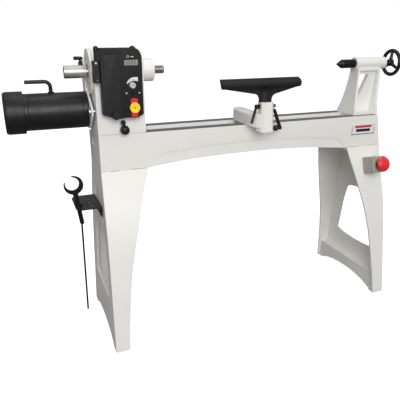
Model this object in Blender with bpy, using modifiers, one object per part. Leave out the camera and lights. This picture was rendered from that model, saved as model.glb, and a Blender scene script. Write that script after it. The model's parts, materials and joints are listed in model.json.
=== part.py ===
"""Wood lathe on cast stands, modelled as an assembly of separate pieces.

Frame: X runs along the bed (headstock at -X, tailstock at +X), the operator
stands at -Y, Z is up and the floor is Z = 0.  Every shape below is written in
millimetres from the datum "spindle nose, on the spindle axis, above the
floor"; a root empty carries the whole machine so that the middle of its
overall length stands over the origin.
"""

import math

import bmesh
import bpy
from mathutils import Matrix, Vector

# ----------------------------------------------------------------- dimensions
SPINDLE_HEIGHT = 1130.0      # spindle axis above the floor
BED_TOP = 895.0              # machined ways
SEAM = 747.0                 # underside of the bed feet
BED_HALF = 92.0              # half width of the bed
BED_LEFT = -295.0
BED_RIGHT_TOP = 1050.0
BED_RIGHT_LOW = 1081.0
SLOT_HALF = 40.0             # half width of the gap between the ways
WAY_UNDER = 873.0            # underside of the ways, where the clamps bear
WALL = 9.0                   # casting wall of the stands
GAP = 0.3                    # clearance between neighbouring pieces

MOTOR_Y, MOTOR_Z = 40.0, 980.0       # motor axis
PIVOT_Y, PIVOT_Z = -58.0, 985.0      # pivot of the motor plate
SHEAVE_BIG, SHEAVE_SMALL = 55.0, 45.0        # spindle pulley steps
MOTOR_STEP_SMALL, MOTOR_STEP_BIG = 22.0, 31.0  # motor pulley steps
BELT_THICK = 3.5
DOOR_AXIS_X, DOOR_AXIS_Y = -287.0, -118.0

BANJO_X = 370.0              # clamp bolt of the tool-rest base
REST_X, REST_Y = 391.0, -158.0       # tool-rest post
TAIL_CLAMP_X = 1010.0        # clamp bolt of the tailstock
WHEEL_X = 1175.0             # plane of the tailstock handwheel
WHEEL_R, WHEEL_TUBE = 56.0, 9.0
FAN_END = -624.0             # left end of the motor fan cover

CENTRE_X = (FAN_END + WHEEL_X + WHEEL_TUBE) / 2   # middle of the overall length

# Half depth of the stand at each height, and width of its front flange.
LEG_DEPTH = [(SEAM - GAP, 92.0), (655, 116), (594, 136), (478, 171), (351, 194),
             (220, 214), (100, 232), (0, 247)]
# The rear flange stands further back at the top than the front one does.
LEG_REAR = [(SEAM - GAP, 147.0), (655, 171), (594, 187), (478, 207), (351, 221),
            (220, 231), (100, 240), (0, 247)]
LEG_WIDTH = [(SEAM - GAP, 194.0), (655, 167), (565, 143), (440, 113), (334, 91),
             (213, 76), (100, 66), (0, 61)]

# --------------------------------------------------------------------- scene
for old in list(bpy.data.objects):
    bpy.data.objects.remove(old, do_unlink=True)
for old in list(bpy.data.collections):
    bpy.data.collections.remove(old)

lathe = bpy.data.collections.new("wood_lathe")
cutters = bpy.data.collections.new("cutters")
bpy.context.scene.collection.children.link(lathe)
bpy.context.scene.collection.children.link(cutters)
cutters.hide_render = True

root = bpy.data.objects.new("lathe_origin", None)
root.location = (-CENTRE_X / 1000, 0, 0)
lathe.objects.link(root)

# Colour, roughness and metallic value of each finish.
FINISH = {
    "white_paint": ((0.79, 0.78, 0.74, 1), 0.42, 0.0),
    "machined_iron": ((0.16, 0.155, 0.145, 1), 0.38, 1.0),
    "steel": ((0.42, 0.42, 0.43, 1), 0.30, 1.0),
    "black_oxide": ((0.035, 0.035, 0.037, 1), 0.42, 0.6),
    "aluminium": ((0.62, 0.62, 0.62, 1), 0.30, 1.0),
    "black_plastic": ((0.018, 0.018, 0.019, 1), 0.45, 0.0),
    "gloss_plastic": ((0.008, 0.008, 0.009, 1), 0.18, 0.0),
    "black_paint": ((0.020, 0.020, 0.021, 1), 0.38, 0.0),
    "rubber": ((0.015, 0.015, 0.015, 1), 0.75, 0.0),
    "red_plastic": ((0.72, 0.03, 0.035, 1), 0.35, 0.0),
    "yellow_plastic": ((0.95, 0.62, 0.03, 1), 0.35, 0.0),
    "grey_plastic": ((0.42, 0.40, 0.36, 1), 0.50, 0.0),
    "light_knob": ((0.55, 0.55, 0.55, 1), 0.35, 0.0),
    "display": ((0.30, 0.33, 0.30, 1), 0.15, 0.0),
    "plate": ((0.80, 0.80, 0.80, 1), 0.35, 0.0),
    "copper": ((0.60, 0.30, 0.16, 1), 0.40, 1.0),
}


def material(name, finish):
    colour, rough, metal = FINISH[finish]
    made = bpy.data.materials.new(name)
    made.use_nodes = True
    shader = made.node_tree.nodes["Principled BSDF"]
    shader.inputs["Base Color"].default_value = colour
    shader.inputs["Roughness"].default_value = rough
    shader.inputs["Metallic"].default_value = metal
    made.diffuse_color = colour
    return made


# -------------------------------------------------------------------- helpers
def place(name, mesh, finish, at):
    """Makes the object, with its origin at `at` (mm) under the root empty."""
    origin = Vector(at)
    mesh.transform(Matrix.Translation(-origin))
    mesh.transform(Matrix.Scale(0.001, 4))
    mesh.name = name
    for poly in mesh.polygons:
        poly.use_smooth = True
    mesh.set_sharp_from_angle(angle=math.radians(35))
    made = bpy.data.objects.new(name, mesh)
    made.location = origin / 1000
    made.parent = root
    if finish:
        mesh.materials.clear()
        mesh.materials.append(material(name, finish))
        lathe.objects.link(made)
    else:
        made.hide_render = True
        made.display_type = "WIRE"
        cutters.objects.link(made)
    return made


def from_bmesh(name, bm, finish, at):
    mesh = bpy.data.meshes.new(name)
    bm.to_mesh(mesh)
    bm.free()
    return place(name, mesh, finish, at)


def block(name, xs, ys, zs, finish=None, at=(0, 0, 0)):
    bm = bmesh.new()
    bmesh.ops.create_cube(bm, size=1)
    size = [b - a for a, b in (xs, ys, zs)]
    mid = [(a + b) / 2 for a, b in (xs, ys, zs)]
    bmesh.ops.scale(bm, vec=size, verts=bm.verts)
    bmesh.ops.translate(bm, vec=mid, verts=bm.verts)
    return from_bmesh(name, bm, finish, at)


def rod(name, start, end, r, r_end=None, finish=None, at=(0, 0, 0), sides=16):
    """A cylinder or a cone from `start` to `end`."""
    a, b = Vector(start), Vector(end)
    bm = bmesh.new()
    bmesh.ops.create_cone(bm, cap_ends=True, segments=sides, radius1=r,
                          radius2=r if r_end is None else r_end, depth=(b - a).length)
    turn = Vector((0, 0, 1)).rotation_difference(b - a).to_matrix().to_4x4()
    bmesh.ops.transform(bm, matrix=Matrix.Translation((a + b) / 2) @ turn, verts=bm.verts)
    return from_bmesh(name, bm, finish, at)


def ball(name, centre, r, finish=None, at=(0, 0, 0), sides=12):
    bm = bmesh.new()
    bmesh.ops.create_uvsphere(bm, u_segments=sides, v_segments=sides // 2, radius=r)
    bmesh.ops.translate(bm, vec=centre, verts=bm.verts)
    return from_bmesh(name, bm, finish, at)


AXES = {
    "X": Matrix(((0, 0, 1), (1, 0, 0), (0, 1, 0))).to_4x4(),
    "Y": Matrix(((0, 1, 0), (0, 0, 1), (1, 0, 0))).to_4x4(),
    "Z": Matrix.Identity(4),
}


def applied(obj):
    """The object's mesh with its modifiers applied; the object itself goes."""
    bpy.context.view_layer.update()
    graph = bpy.context.evaluated_depsgraph_get()
    mesh = bpy.data.meshes.new_from_object(obj.evaluated_get(graph))
    bpy.data.objects.remove(obj, do_unlink=True)
    return mesh


def turned(name, profile, axis, centre, finish=None, at=(0, 0, 0), steps=20, closed=False):
    """A profile of (radius, distance along the axis), turned about the axis.

    It runs down the outer side, from the far end of the axis to the near end;
    a closed profile is a ring with a bore."""
    mesh = bpy.data.meshes.new(name)
    points = [(r, 0.0, d) for r, d in profile]
    edges = [(i, i + 1) for i in range(len(points) - 1)]
    if closed:
        edges.append((len(points) - 1, 0))
    mesh.from_pydata(points, edges, [])
    work = bpy.data.objects.new(name, mesh)
    bpy.context.scene.collection.objects.link(work)
    screw = work.modifiers.new("Turn", "SCREW")
    screw.axis = "Z"
    screw.steps = steps
    screw.render_steps = steps
    screw.use_merge_vertices = True
    screw.merge_threshold = 0.0001
    made = applied(work)
    made.transform(Matrix.Translation(centre) @ AXES[axis])
    return place(name, made, finish, at)


PLANES = {
    "XY": Matrix.Identity(4),
    "XZ": Matrix(((1, 0, 0), (0, 0, -1), (0, 1, 0))).to_4x4(),
    "YZ": Matrix(((0, 0, 1), (1, 0, 0), (0, 1, 0))).to_4x4(),
}


def plate(name, outline, plane, low, high, finish=None, at=(0, 0, 0)):
    """A flat outline in the plane, from `low` to `high` along its normal axis."""
    curve = bpy.data.curves.new(name, "CURVE")
    curve.dimensions = "2D"
    curve.fill_mode = "BOTH"
    curve.extrude = (high - low) / 2
    spline = curve.splines.new("POLY")
    spline.points.add(len(outline) - 1)
    for point, (u, v) in zip(spline.points, outline):
        point.co = (u, v, 0, 1)
    spline.use_cyclic_u = True
    work = bpy.data.objects.new(name, curve)
    bpy.context.scene.collection.objects.link(work)
    mesh = applied(work)
    weld(mesh, 0.01)
    middle = (low + high) / 2
    shift = {"XY": (0, 0, middle), "XZ": (0, middle, 0), "YZ": (middle, 0, 0)}[plane]
    mesh.transform(Matrix.Translation(shift) @ PLANES[plane])
    return place(name, mesh, finish, at)


def weld(mesh, distance):
    bm = bmesh.new()
    bm.from_mesh(mesh)
    bmesh.ops.remove_doubles(bm, verts=bm.verts, dist=distance)
    bmesh.ops.recalc_face_normals(bm, faces=bm.faces)
    bm.to_mesh(mesh)
    bm.free()


def tube(name, points, r, finish=None, at=(0, 0, 0), fine=3):
    curve = bpy.data.curves.new(name, "CURVE")
    curve.dimensions = "3D"
    curve.bevel_depth = r
    curve.bevel_resolution = fine
    curve.use_fill_caps = True
    spline = curve.splines.new("POLY")
    spline.points.add(len(points) - 1)
    for point, co in zip(spline.points, points):
        point.co = (*co, 1)
    work = bpy.data.objects.new(name, curve)
    bpy.context.scene.collection.objects.link(work)
    mesh = applied(work)
    weld(mesh, 0.01)
    return place(name, mesh, finish, at)


def combine(obj, operation, tools):
    for tool in tools:
        step = obj.modifiers.new(operation.lower() + "_" + tool.name, "BOOLEAN")
        step.operation = operation
        step.object = tool
        step.solver = "EXACT"
    return obj


def join(obj, *tools):
    return combine(obj, "UNION", tools)


def cut(obj, *tools):
    return combine(obj, "DIFFERENCE", tools)


def common(obj, *tools):
    return combine(obj, "INTERSECT", tools)


def arc(cx, cy, r, start, end, count):
    """Points on an arc, in degrees, both ends included."""
    return [(cx + r * math.cos(math.radians(start + (end - start) * i / (count - 1))),
             cy + r * math.sin(math.radians(start + (end - start) * i / (count - 1))))
            for i in range(count)]


def at_height(table, z):
    """Linear reading of a (height, value) table that runs downwards."""
    for (z1, v1), (z0, v0) in zip(table, table[1:]):
        if z0 <= z <= z1:
            return v0 + (v1 - v0) * (z - z0) / (z1 - z0)
    return table[0][1] if z > table[0][0] else table[-1][1]


def both_sides(half):
    """A closed outline from the (value, height) points of its positive half, top to bottom."""
    return [(-v, z) for v, z in half] + [(v, z) for v, z in reversed(half)]


# --------------------------------------------------------------------- stands
def stand(name, outer_top, outer_low, inward):
    """A cast end stand: a web with a window, two flanges, a shelf and feet.

    `inward` is +1 where the flanges reach towards +X, and -1 towards -X."""
    top = SEAM - GAP

    def outer(z):
        return outer_low + (outer_top - outer_low) * z / top

    inner = [(outer(z) + inward * w, z) for z, w in LEG_WIDTH]
    made = plate(name, [(outer_low, 0), (outer_top, top)] + inner, "XZ", -300, 300,
                 finish="white_paint")
    depth = [(-d, z) for z, d in LEG_DEPTH] + [(d, z) for z, d in reversed(LEG_REAR)]
    common(made, plate(name + "_depth", depth, "YZ",
                       min(outer_top, outer_low, inner[0][0]) - 60,
                       max(outer_top, outer_low, inner[0][0]) + 60))
    # The hollow behind the web, open towards the middle of the machine.
    inside = []
    for table, side in ((LEG_DEPTH, -1), (LEG_REAR, 1)):
        half = [(at_height(table, top - 17) - WALL, top - 17)]
        half += [(d - WALL, z) for z, d in table if z < top - 20][:-1] + [(247 - WALL, -10)]
        inside += [(side * d, z) for d, z in half][::-side]
    hollow = plate(name + "_hollow", inside, "YZ",
                   min(outer(0), inner[0][0]) - 50, max(outer(0), inner[0][0]) + 50)
    far = inner[0][0] + inward * 80
    common(hollow, plate(name + "_hollow_side",
                         [(outer(-20) + inward * WALL, -20), (outer(top) + inward * WALL, top),
                          (far, top), (far, -20)], "XZ", -320, 320))
    cut(made, hollow)
    # Ledge across the web with a turned-up lip, feet pads, and corner fillets.
    shelf = [(outer(106) + inward * 5, 106), (outer(106) + inward * 46, 94),
             (outer(106) + inward * 52, 96), (outer(106) + inward * 52, 8),
             (outer(106) + inward * 43, 8), (outer(106) + inward * 43, 84),
             (outer(106) + inward * 5, 92)]
    if inward < 0:
        shelf.reverse()
    ledge = plate(name + "_ledge", shelf, "XZ", -226, 234)
    feet = [block(name + "_foot_" + side, sorted((outer(0) + inward * 4, outer(0) + inward * 57)),
                  sorted((sign * 205, sign * 243)), (0, 12))
            for side, sign in (("front", -1), ("rear", 1))]
    join(made, ledge, *feet)
    # Window through the web, and the arch between the feet.
    span = sorted((outer_low - inward * 60, outer(0) + inward * 30))
    under = sorted((outer_low - inward * 60, outer(0) + inward * 100))
    window = ([(127, 388), (151, 212), (120, 202), (70, 196), (0, 194)])
    crown = [(0, 492), (40, 489), (72, 484), (98, 474), (108, 460)]
    half = crown + window
    through = plate(name + "_window", [(-y, z) for y, z in half]
                    + [(y, z) for y, z in reversed(half[1:-1])], "YZ", *span)
    arch_half = [(0, 39), (60, 37), (110, 31), (150, 23), (184, 13), (188, 6), (188, -10)]
    arch = plate(name + "_arch", [(-y, z) for y, z in arch_half]
                 + [(y, z) for y, z in reversed(arch_half[1:])], "YZ", *under)
    # A shallow panel sunk in the outside of the web, above the window.
    face = outer(580)
    panel = plate(name + "_panel", [(-92, 642), (-112, 560), (-84, 522), (84, 522), (112, 560),
                                    (92, 642)], "YZ",
                  *sorted((face - inward * 8, face + inward * 3)))
    # Clearance holes for the bed bolts.
    holes = [rod(name + "_hole_%d" % i, (outer_top + inward * 45, y, top - 40),
                 (outer_top + inward * 45, y, top + 20), 6.4, sides=12)
             for i, y in enumerate((-62, 62))]
    cut(made, through, arch, panel, *holes)
    return made


stand_left = stand("stand_left", BED_LEFT, -311.0, 1)
stand_right = stand("stand_right", BED_RIGHT_LOW, 1086.0, -1)

# ------------------------------------------------------------------------ bed
arch_line = [(871, SEAM), (800, 753), (719, 761), (600, 769), (444, 773.5), (414, 773.5),
             (250, 771.5), (89, 766), (0, 757), (-103, SEAM)]
bed = plate("lathe_bed", [(BED_LEFT, SEAM), (BED_LEFT, BED_TOP), (BED_RIGHT_TOP, BED_TOP),
                          (BED_RIGHT_LOW, SEAM)] + arch_line, "XZ", -BED_HALF, BED_HALF,
            finish="white_paint")
hollow = block("bed_hollow", (-283, 1036), (-80, 80), (766, WAY_UNDER))
open_below = block("bed_open", (-92, 860), (-80, 80), (700, 790))
slot = block("bed_slot", (-272, 1030), (-SLOT_HALF, SLOT_HALF), (860, 920))
# A band along the arch, set back from the front and rear faces.
band_line = [(-86, 753), (-63, 793), (-20, 805), (90, 814), (250, 821), (412, 824), (560, 819),
             (715, 809), (832, 797), (866, 758)]
band = [plate("bed_band_" + side, [(-86, 700)] + band_line + [(866, 700)], "XZ",
              *sorted((sign * 88.5, sign * 120)))
        for side, sign in (("front", -1), ("rear", 1))]
ribs = [block("bed_rib_%d" % i, (x - 6, x + 6), (-82, 82), (778, 806))
        for i, x in enumerate((110, 390, 670))]
feet_slots = [block("bed_relief_%d" % i, span, (-100, 155), (SEAM - 5, SEAM + 1.6))
              for i, span in enumerate(((-257, -220), (-176, -110), (885, 958), (1010, 1050)))]
end_slot = block("bed_end_slot", (BED_LEFT - 10, -279), (22, 74), (825, 860))
# The bed's ends are broader at the rear, where they cover the stands.
shoulders = [plate("bed_shoulder_" + side, line, "XZ", 84, 147)
             for side, line in (("left", [(-103, SEAM), (BED_LEFT, SEAM), (BED_LEFT, 878),
                                          (-125, 878), (-103, 856)]),
                                ("right", [(871, SEAM), (871, 856), (893, 878),
                                           (1054, 878), (BED_RIGHT_LOW, SEAM)]))]
bolt_spots = [(BED_LEFT + 45, -62), (BED_LEFT + 45, 62), (BED_RIGHT_LOW - 45, -62),
              (BED_RIGHT_LOW - 45, 62)]
bed_holes = [rod("bed_hole_%d" % i, (x, y, SEAM - 20), (x, y, 790), 6.4, sides=12)
             for i, (x, y) in enumerate(bolt_spots)]
cut(bed, hollow, open_below, slot, *band)
join(bed, *ribs, *shoulders)
cut(bed, end_slot, *feet_slots, *bed_holes)

BOLT_NAMES = ("bed_bolt_left_front", "bed_bolt_left_rear", "bed_bolt_right_front",
              "bed_bolt_right_rear")
for name, (x, y) in zip(BOLT_NAMES, bolt_spots):
    under = SEAM - 17 - 2 * GAP
    bolt = rod(name, (x, y, under - 8), (x, y, under), 10.5, finish="steel", sides=6)
    join(bolt, rod(name + "_shank", (x, y, under - 4), (x, y, 763), 6, sides=12))

name_plate = plate("name_plate", arc(908, 849, 4, 180, 90, 4) + arc(1034, 849, 4, 90, 0, 4)
                   + arc(1034, 802, 4, 0, -90, 4) + arc(908, 802, 4, -90, -180, 4), "XZ",
                   -BED_HALF - 2, -BED_HALF - GAP, finish="plate")

# ---------------------------------------------------------------- tool holder
HOLDER_Z = 593.0
holder_line = ([(-300.6, -76), (-300.6, 108)] + arc(-372, 78, 30, 90, 180, 7)
               + arc(-372, -46, 30, 180, 270, 7))
holder = plate("tool_holder_bracket", holder_line, "XY", HOLDER_Z - 2, HOLDER_Z + 2,
               finish="black_paint")
join(holder, block("holder_flange", (-304.4, -300.4), (-75.5, 107.5), (553, HOLDER_Z + 1.5)))
# The wrench hangs in a slot, the knock-out rod in a round hole.
WRENCH_TOP, WRENCH_LOW = Vector((-398, -8, 681)), Vector((-375.5, -8, 506))
lean = (WRENCH_TOP - WRENCH_LOW).normalized()
at_plate = WRENCH_LOW + lean * ((HOLDER_Z - WRENCH_LOW.z) / lean.z)
holder_cuts = [block("holder_slot", (at_plate.x - 11.5, at_plate.x + 11.5), (-12.5, -3.5),
                     (HOLDER_Z - 10, HOLDER_Z + 10)),
               rod("holder_rod_hole", (-390, -44, HOLDER_Z - 10), (-390, -44, HOLDER_Z + 10), 5,
                   sides=12)]
for i, (x, y) in enumerate(((-388, 55), (-338, 48), (-336, 8), (-333, -36))):
    holder_cuts.append(rod("holder_hole_%d" % i, (x, y, HOLDER_Z - 10), (x, y, HOLDER_Z + 10),
                           6.5, sides=12))
cut(holder, *holder_cuts)

# Face wrench: a C-shaped jaw on a flat handle.
wrench_at = (at_plate.x, -8, HOLDER_Z)
jaw = WRENCH_TOP
wrench = rod("spindle_wrench", (jaw.x, -11, jaw.z), (jaw.x, -5, jaw.z), 40, finish="black_oxide",
             at=wrench_at, sides=24)
across = Vector((lean.z, 0, -lean.x))


def along(s, t):
    """A point of the wrench outline: s along the handle from its low end, t across it."""
    p = WRENCH_LOW + lean * s + across * t
    return (p.x, p.z)


length = (WRENCH_TOP - WRENCH_LOW).length
handle = ([along(length - 20, -14), along(120, -9.4), along(9, -9.4)]
          + [along(9 - 9.4 * math.sin(math.radians(a)), -9.4 * math.cos(math.radians(a)))
             for a in range(20, 161, 20)]
          + [along(9, 9.4), along(120, 9.4), along(length - 20, 14)])
join(wrench, plate("wrench_handle", handle, "XZ", -11, -5))
mouth_dir = math.radians(128)
mouth = Vector((jaw.x + 9 * math.cos(mouth_dir), 0, jaw.z + 9 * math.sin(mouth_dir)))
side = math.radians(38)
wedge = [(mouth.x, mouth.z)] + [(mouth.x + 90 * math.cos(a), mouth.z + 90 * math.sin(a))
                                for a in (mouth_dir - side, mouth_dir, mouth_dir + side)]
cut(wrench, rod("wrench_mouth", (mouth.x, -30, mouth.z), (mouth.x, 30, mouth.z), 28, sides=24),
    plate("wrench_wedge", wedge[::-1], "XZ", -30, 30))

knockout_rod = turned("knockout_rod", [(0, 608), (6.5, 607.4), (7.5, 605), (7.5, 597), (4, 595.6),
                                       (4, 112), (3, 108), (0, 108)], "Z", (-390, -44, 0),
                      finish="black_oxide", at=(-390, -44, 595), steps=12)
knockout_rod.data.transform(Matrix.Rotation(math.radians(0.9), 4, "Y"))

# --------------------------------------------------------- remote stop switch
# A small box on the front of the right stand; its back follows the casting.
STOP_LEAN = Vector((0, -0.9610, 0.2764))                  # out of the casting's front face
STOP_SPOT = Vector((1012, -118.5, 655.5))                 # middle of the box's back
STOP_FACE = STOP_SPOT + STOP_LEAN * 73
stop_line = [(STOP_SPOT.y + STOP_LEAN.y * d - STOP_LEAN.z * t * side,
              STOP_SPOT.z + STOP_LEAN.z * d + STOP_LEAN.y * t * side)
             for d, side in ((-12, -1), (73, -1), (73, 1), (-12, 1)) for t in (39,)]
remote = plate("remote_stop_box", stop_line, "YZ", STOP_SPOT.x - 37, STOP_SPOT.x + 37,
               finish="grey_plastic")
lean_wall = [(-at_height(LEG_DEPTH, z) - GAP, z) for z in (740, 655, 594, 560)]
cut(remote, plate("remote_back", lean_wall + [(-60, 560), (-60, 740)], "YZ", 940, 1070),
    rod("remote_bore", STOP_FACE - STOP_LEAN * 36, STOP_FACE + STOP_LEAN * 20, 9.5, sides=16))
remote_stop_button = turned("remote_stop_button",
                            [(0, 42), (16, 41), (27, 37.5), (33.5, 32), (35, 28), (35, 24), (32, 21.5),
                             (16, 20), (9, 18), (9, -30), (0, -30)],
                            "Z", (0, 0, 0), finish="red_plastic", at=(0, 0, 0), steps=20)
remote_stop_button.data.transform(STOP_LEAN.to_track_quat("Z", "Y").to_matrix().to_4x4())
remote_stop_button.location = STOP_FACE / 1000


def round_belt(c1, r1, c2, r2, n1=18, n2=10):
    """The outline of an open belt round two circles."""
    dx, dy = c2[0] - c1[0], c2[1] - c1[1]
    heading = math.degrees(math.atan2(dy, dx))
    spread = math.degrees(math.acos((r1 - r2) / math.hypot(dx, dy)))
    return (arc(*c1, r1, heading + spread, heading + 360 - spread, n1)
            + arc(*c2, r2, heading - spread, heading + spread, n2))


# ------------------------------------------------------------------ headstock
HEAD_HALF = 90.0
HEAD_AT = (-195.0, 0.0, BED_TOP)
arch_side = ([(-HEAD_HALF, BED_TOP + GAP)] + arc(-38, 1155, 52, 180, 90, 8)
             + arc(38, 1155, 52, 90, 0, 8) + [(HEAD_HALF, BED_TOP + GAP)])
casting = plate("headstock_casting", arch_side, "YZ", -295, -105, finish="white_paint", at=HEAD_AT)
join(casting,
     rod("head_boss", (-305, 0, SPINDLE_HEIGHT), (-286, 0, SPINDLE_HEIGHT), 85, sides=32),
     block("head_pad", (-213, -161), (-92.5, -80), (BED_TOP + GAP, 948)),
     block("head_tenon", (-268, -118), (-39.3, 39.3), (881, BED_TOP + 6)))
chamber_line = ([(-120, 984), (-78, 984), (-78, 938), (78, 938)] + arc(35, 1154, 43, 0, 90, 6) + [(-120, 1197)])
LOCK_X, LOCK_Z = -194.0, 914.0
cut(casting,
    plate("head_chamber", chamber_line, "YZ", -272, -150),
    rod("head_seat_left", (-330, 0, SPINDLE_HEIGHT), (-281, 0, SPINDLE_HEIGHT), 31.3, sides=24),
    rod("head_bore_left", (-290, 0, SPINDLE_HEIGHT), (-260, 0, SPINDLE_HEIGHT), 24, sides=20),
    rod("head_seat_right", (-138, 0, SPINDLE_HEIGHT), (-90, 0, SPINDLE_HEIGHT), 36.3, sides=24),
    rod("head_bore_right", (-160, 0, SPINDLE_HEIGHT), (-130, 0, SPINDLE_HEIGHT), 24, sides=20),
    plate("head_motor_slot", round_belt((MOTOR_Y, MOTOR_Z), 15, (MOTOR_Y - 1, MOTOR_Z + 12), 15,
                                        10, 10), "YZ", -320, -260),
    rod("head_pivot_bore", (-320, PIVOT_Y, PIVOT_Z), (-283, PIVOT_Y, PIVOT_Z), 8.3, sides=12),
    rod("head_stud_bore", (-320, 75, 1152), (-283, 75, 1152), 5.4, sides=12),
    rod("head_lock_bore", (LOCK_X, -120, LOCK_Z), (LOCK_X, 60, LOCK_Z), 9.9, sides=16),
    rod("head_clamp_hole", (LOCK_X, 0, 860), (LOCK_X, 0, LOCK_Z), 8, sides=12))

turned("spindle_bearing_left", [(31, -281.5), (31, -301), (15.4, -301), (15.4, -281.5)], "X",
       (0, 0, SPINDLE_HEIGHT), finish="steel", at=HEAD_AT, closed=True, steps=24)
turned("spindle_bearing_right", [(36, -112.2), (36, -137.6), (20.4, -137.6), (20.4, -112.2)], "X",
       (0, 0, SPINDLE_HEIGHT), finish="steel", at=HEAD_AT, closed=True, steps=24)
turned("front_bearing_cap", [(43, -46), (45, -48), (45, -104.7), (35.9, -104.7), (35.9, -111.8),
                             (24.5, -111.8), (24.5, -46)], "X",
       (0, 0, SPINDLE_HEIGHT), finish="white_paint", at=HEAD_AT, closed=True, steps=24)

# Spindle: threaded nose with a taper socket, bored through for the rod.
SPIN_AT = (0.0, 0.0, SPINDLE_HEIGHT)
turned("spindle", [(15.3, 0), (16.5, -1.5), (16.5, -41.5), (14.8, -42.5), (14.8, -46), (22, -46),
                   (22, -62), (20, -62.5), (20, -150), (17.5, -150.5), (17.5, -274), (15, -274.5),
                   (15, -393), (5, -393), (5, -66), (7.3, -66), (8.9, 0)], "X", SPIN_AT,
       finish="steel", at=SPIN_AT, closed=True)
turned("spindle_pulley", [(SHEAVE_SMALL, -217), (SHEAVE_SMALL, -242), (59, -242), (59, -244.5),
                          (SHEAVE_BIG, -244.5), (SHEAVE_BIG, -268), (59, -268), (59, -270.5),
                          (17.8, -270.5), (17.8, -217)], "X", SPIN_AT,
       finish="aluminium", at=SPIN_AT, closed=True, steps=24)
turned("outboard_handwheel", [(23, -310), (24, -311), (24, -393), (23, -394), (15.3, -394),
                              (15.3, -310)], "X", SPIN_AT, finish="aluminium", at=SPIN_AT,
       closed=True, steps=24)

# Motor drive: both pulleys carry two steps, and the belt runs on the outer pair.
belt_outer = round_belt((0, SPINDLE_HEIGHT), SHEAVE_BIG + GAP + BELT_THICK,
                        (MOTOR_Y, MOTOR_Z), MOTOR_STEP_SMALL + GAP + BELT_THICK, 20, 10)
belt_inner = round_belt((0, SPINDLE_HEIGHT), SHEAVE_BIG + GAP,
                        (MOTOR_Y, MOTOR_Z), MOTOR_STEP_SMALL + GAP, 26, 12)
belt = plate("drive_belt", belt_outer, "YZ", -266, -247, finish="rubber", at=HEAD_AT)
cut(belt, plate("belt_inside", belt_inner, "YZ", -280, -230))

# --------------------------------------------- covers on the headstock's front
FACE, BACK, SKIN = -130.0, -HEAD_HALF - GAP, 3.0
panel_line = [(-205.5, 964.3), (-181, 965), (-134, 969), (-124, 973), (-121, 979), (-121, 1190),
              (-126, 1203), (-134, 1214), (-146, 1220), (-205.5, 1220)]
panel_in = [(-202.5, 967.4), (-181, 968), (-135, 972), (-126.5, 975), (-124, 980), (-124, 1189),
            (-129, 1201.5), (-136, 1211), (-147, 1217), (-202.5, 1217)]
panel = plate("control_panel", panel_line, "XZ", FACE, BACK, finish="gloss_plastic", at=HEAD_AT)
join(panel, ball("panel_dome", (-151, -112, 1214), 13, sides=12))
KNOB_X, KNOB_Z = -162.0, 1086.0
SWITCH_X, SWITCH_Z = -161.0, 1057.0
STOP_KEY_X, STOP_KEY_Z = -158.0, 1003.0
cut(panel, plate("panel_hollow", panel_in, "XZ", FACE + SKIN, -60),
    rod("panel_knob_hole", (KNOB_X, -140, KNOB_Z), (KNOB_X, -120, KNOB_Z), 3.5, sides=12),
    rod("panel_switch_hole", (SWITCH_X, -140, SWITCH_Z), (SWITCH_X, -120, SWITCH_Z), 6, sides=12),
    block("panel_stop_hole", (STOP_KEY_X - 9.5, STOP_KEY_X + 9.5), (-140, -120),
          (STOP_KEY_Z - 18.5, STOP_KEY_Z + 18.5)))

plate("display_lens", arc(-186, 1175, 2, 180, 90, 3) + arc(-138.5, 1175, 2, 90, 0, 3)
      + arc(-138.5, 1160, 2, 0, -90, 3) + arc(-186, 1160, 2, -90, -180, 3), "XZ", -132.4,
      FACE - GAP, finish="display", at=HEAD_AT)

knob_at = (KNOB_X, -138.0, KNOB_Z)
knob = turned("speed_knob", [(0, -121), (5.5, -121), (5.5, -126.6), (3, -126.6), (3, -130.6),
                             (11.5, -130.6), (12.3, -132), (11, -146), (9.5, -147), (0, -147)],
              "Y", (KNOB_X, 0, KNOB_Z), finish="light_knob", at=knob_at, steps=16)
cut(knob, block("knob_mark", (KNOB_X - 1, KNOB_X + 1), (-149, -145.8), (KNOB_Z + 1, KNOB_Z + 14)))

toggle_at = (SWITCH_X, -128.5, SWITCH_Z)
toggle = ball("direction_switch", toggle_at, 4.6, finish="black_plastic", at=toggle_at, sides=12)
join(toggle, rod("toggle_bat", toggle_at, (SWITCH_X, -145, SWITCH_Z), 2, 3.2, sides=12))

paddle_at = (STOP_KEY_X, -134.0, STOP_KEY_Z)
paddle = plate("stop_paddle", arc(-167, 1033, 4, 180, 90, 4) + arc(-149, 1033, 4, 90, 0, 4)
               + arc(-149, 972, 4, 0, -90, 4) + arc(-167, 972, 4, -90, -180, 4), "XZ", -138,
               FACE - GAP, finish="red_plastic", at=paddle_at)
join(paddle, block("paddle_stem", (STOP_KEY_X - 8.7, STOP_KEY_X + 8.7), (-134, -122),
                   (STOP_KEY_Z - 17.5, STOP_KEY_Z + 17.5)))
cut(paddle, rod("paddle_bore", (STOP_KEY_X, -150, STOP_KEY_Z), (STOP_KEY_X, -128, STOP_KEY_Z), 4.5,
                sides=12))
turned("safety_key", [(0, -130), (4, -130), (4, -138.3), (18, -138.3), (20, -140.3), (20, -146),
                      (18.5, -148), (0, -148)], "Y", (STOP_KEY_X, 0, STOP_KEY_Z),
       finish="yellow_plastic", at=(STOP_KEY_X, -143, STOP_KEY_Z), steps=28)

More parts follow.
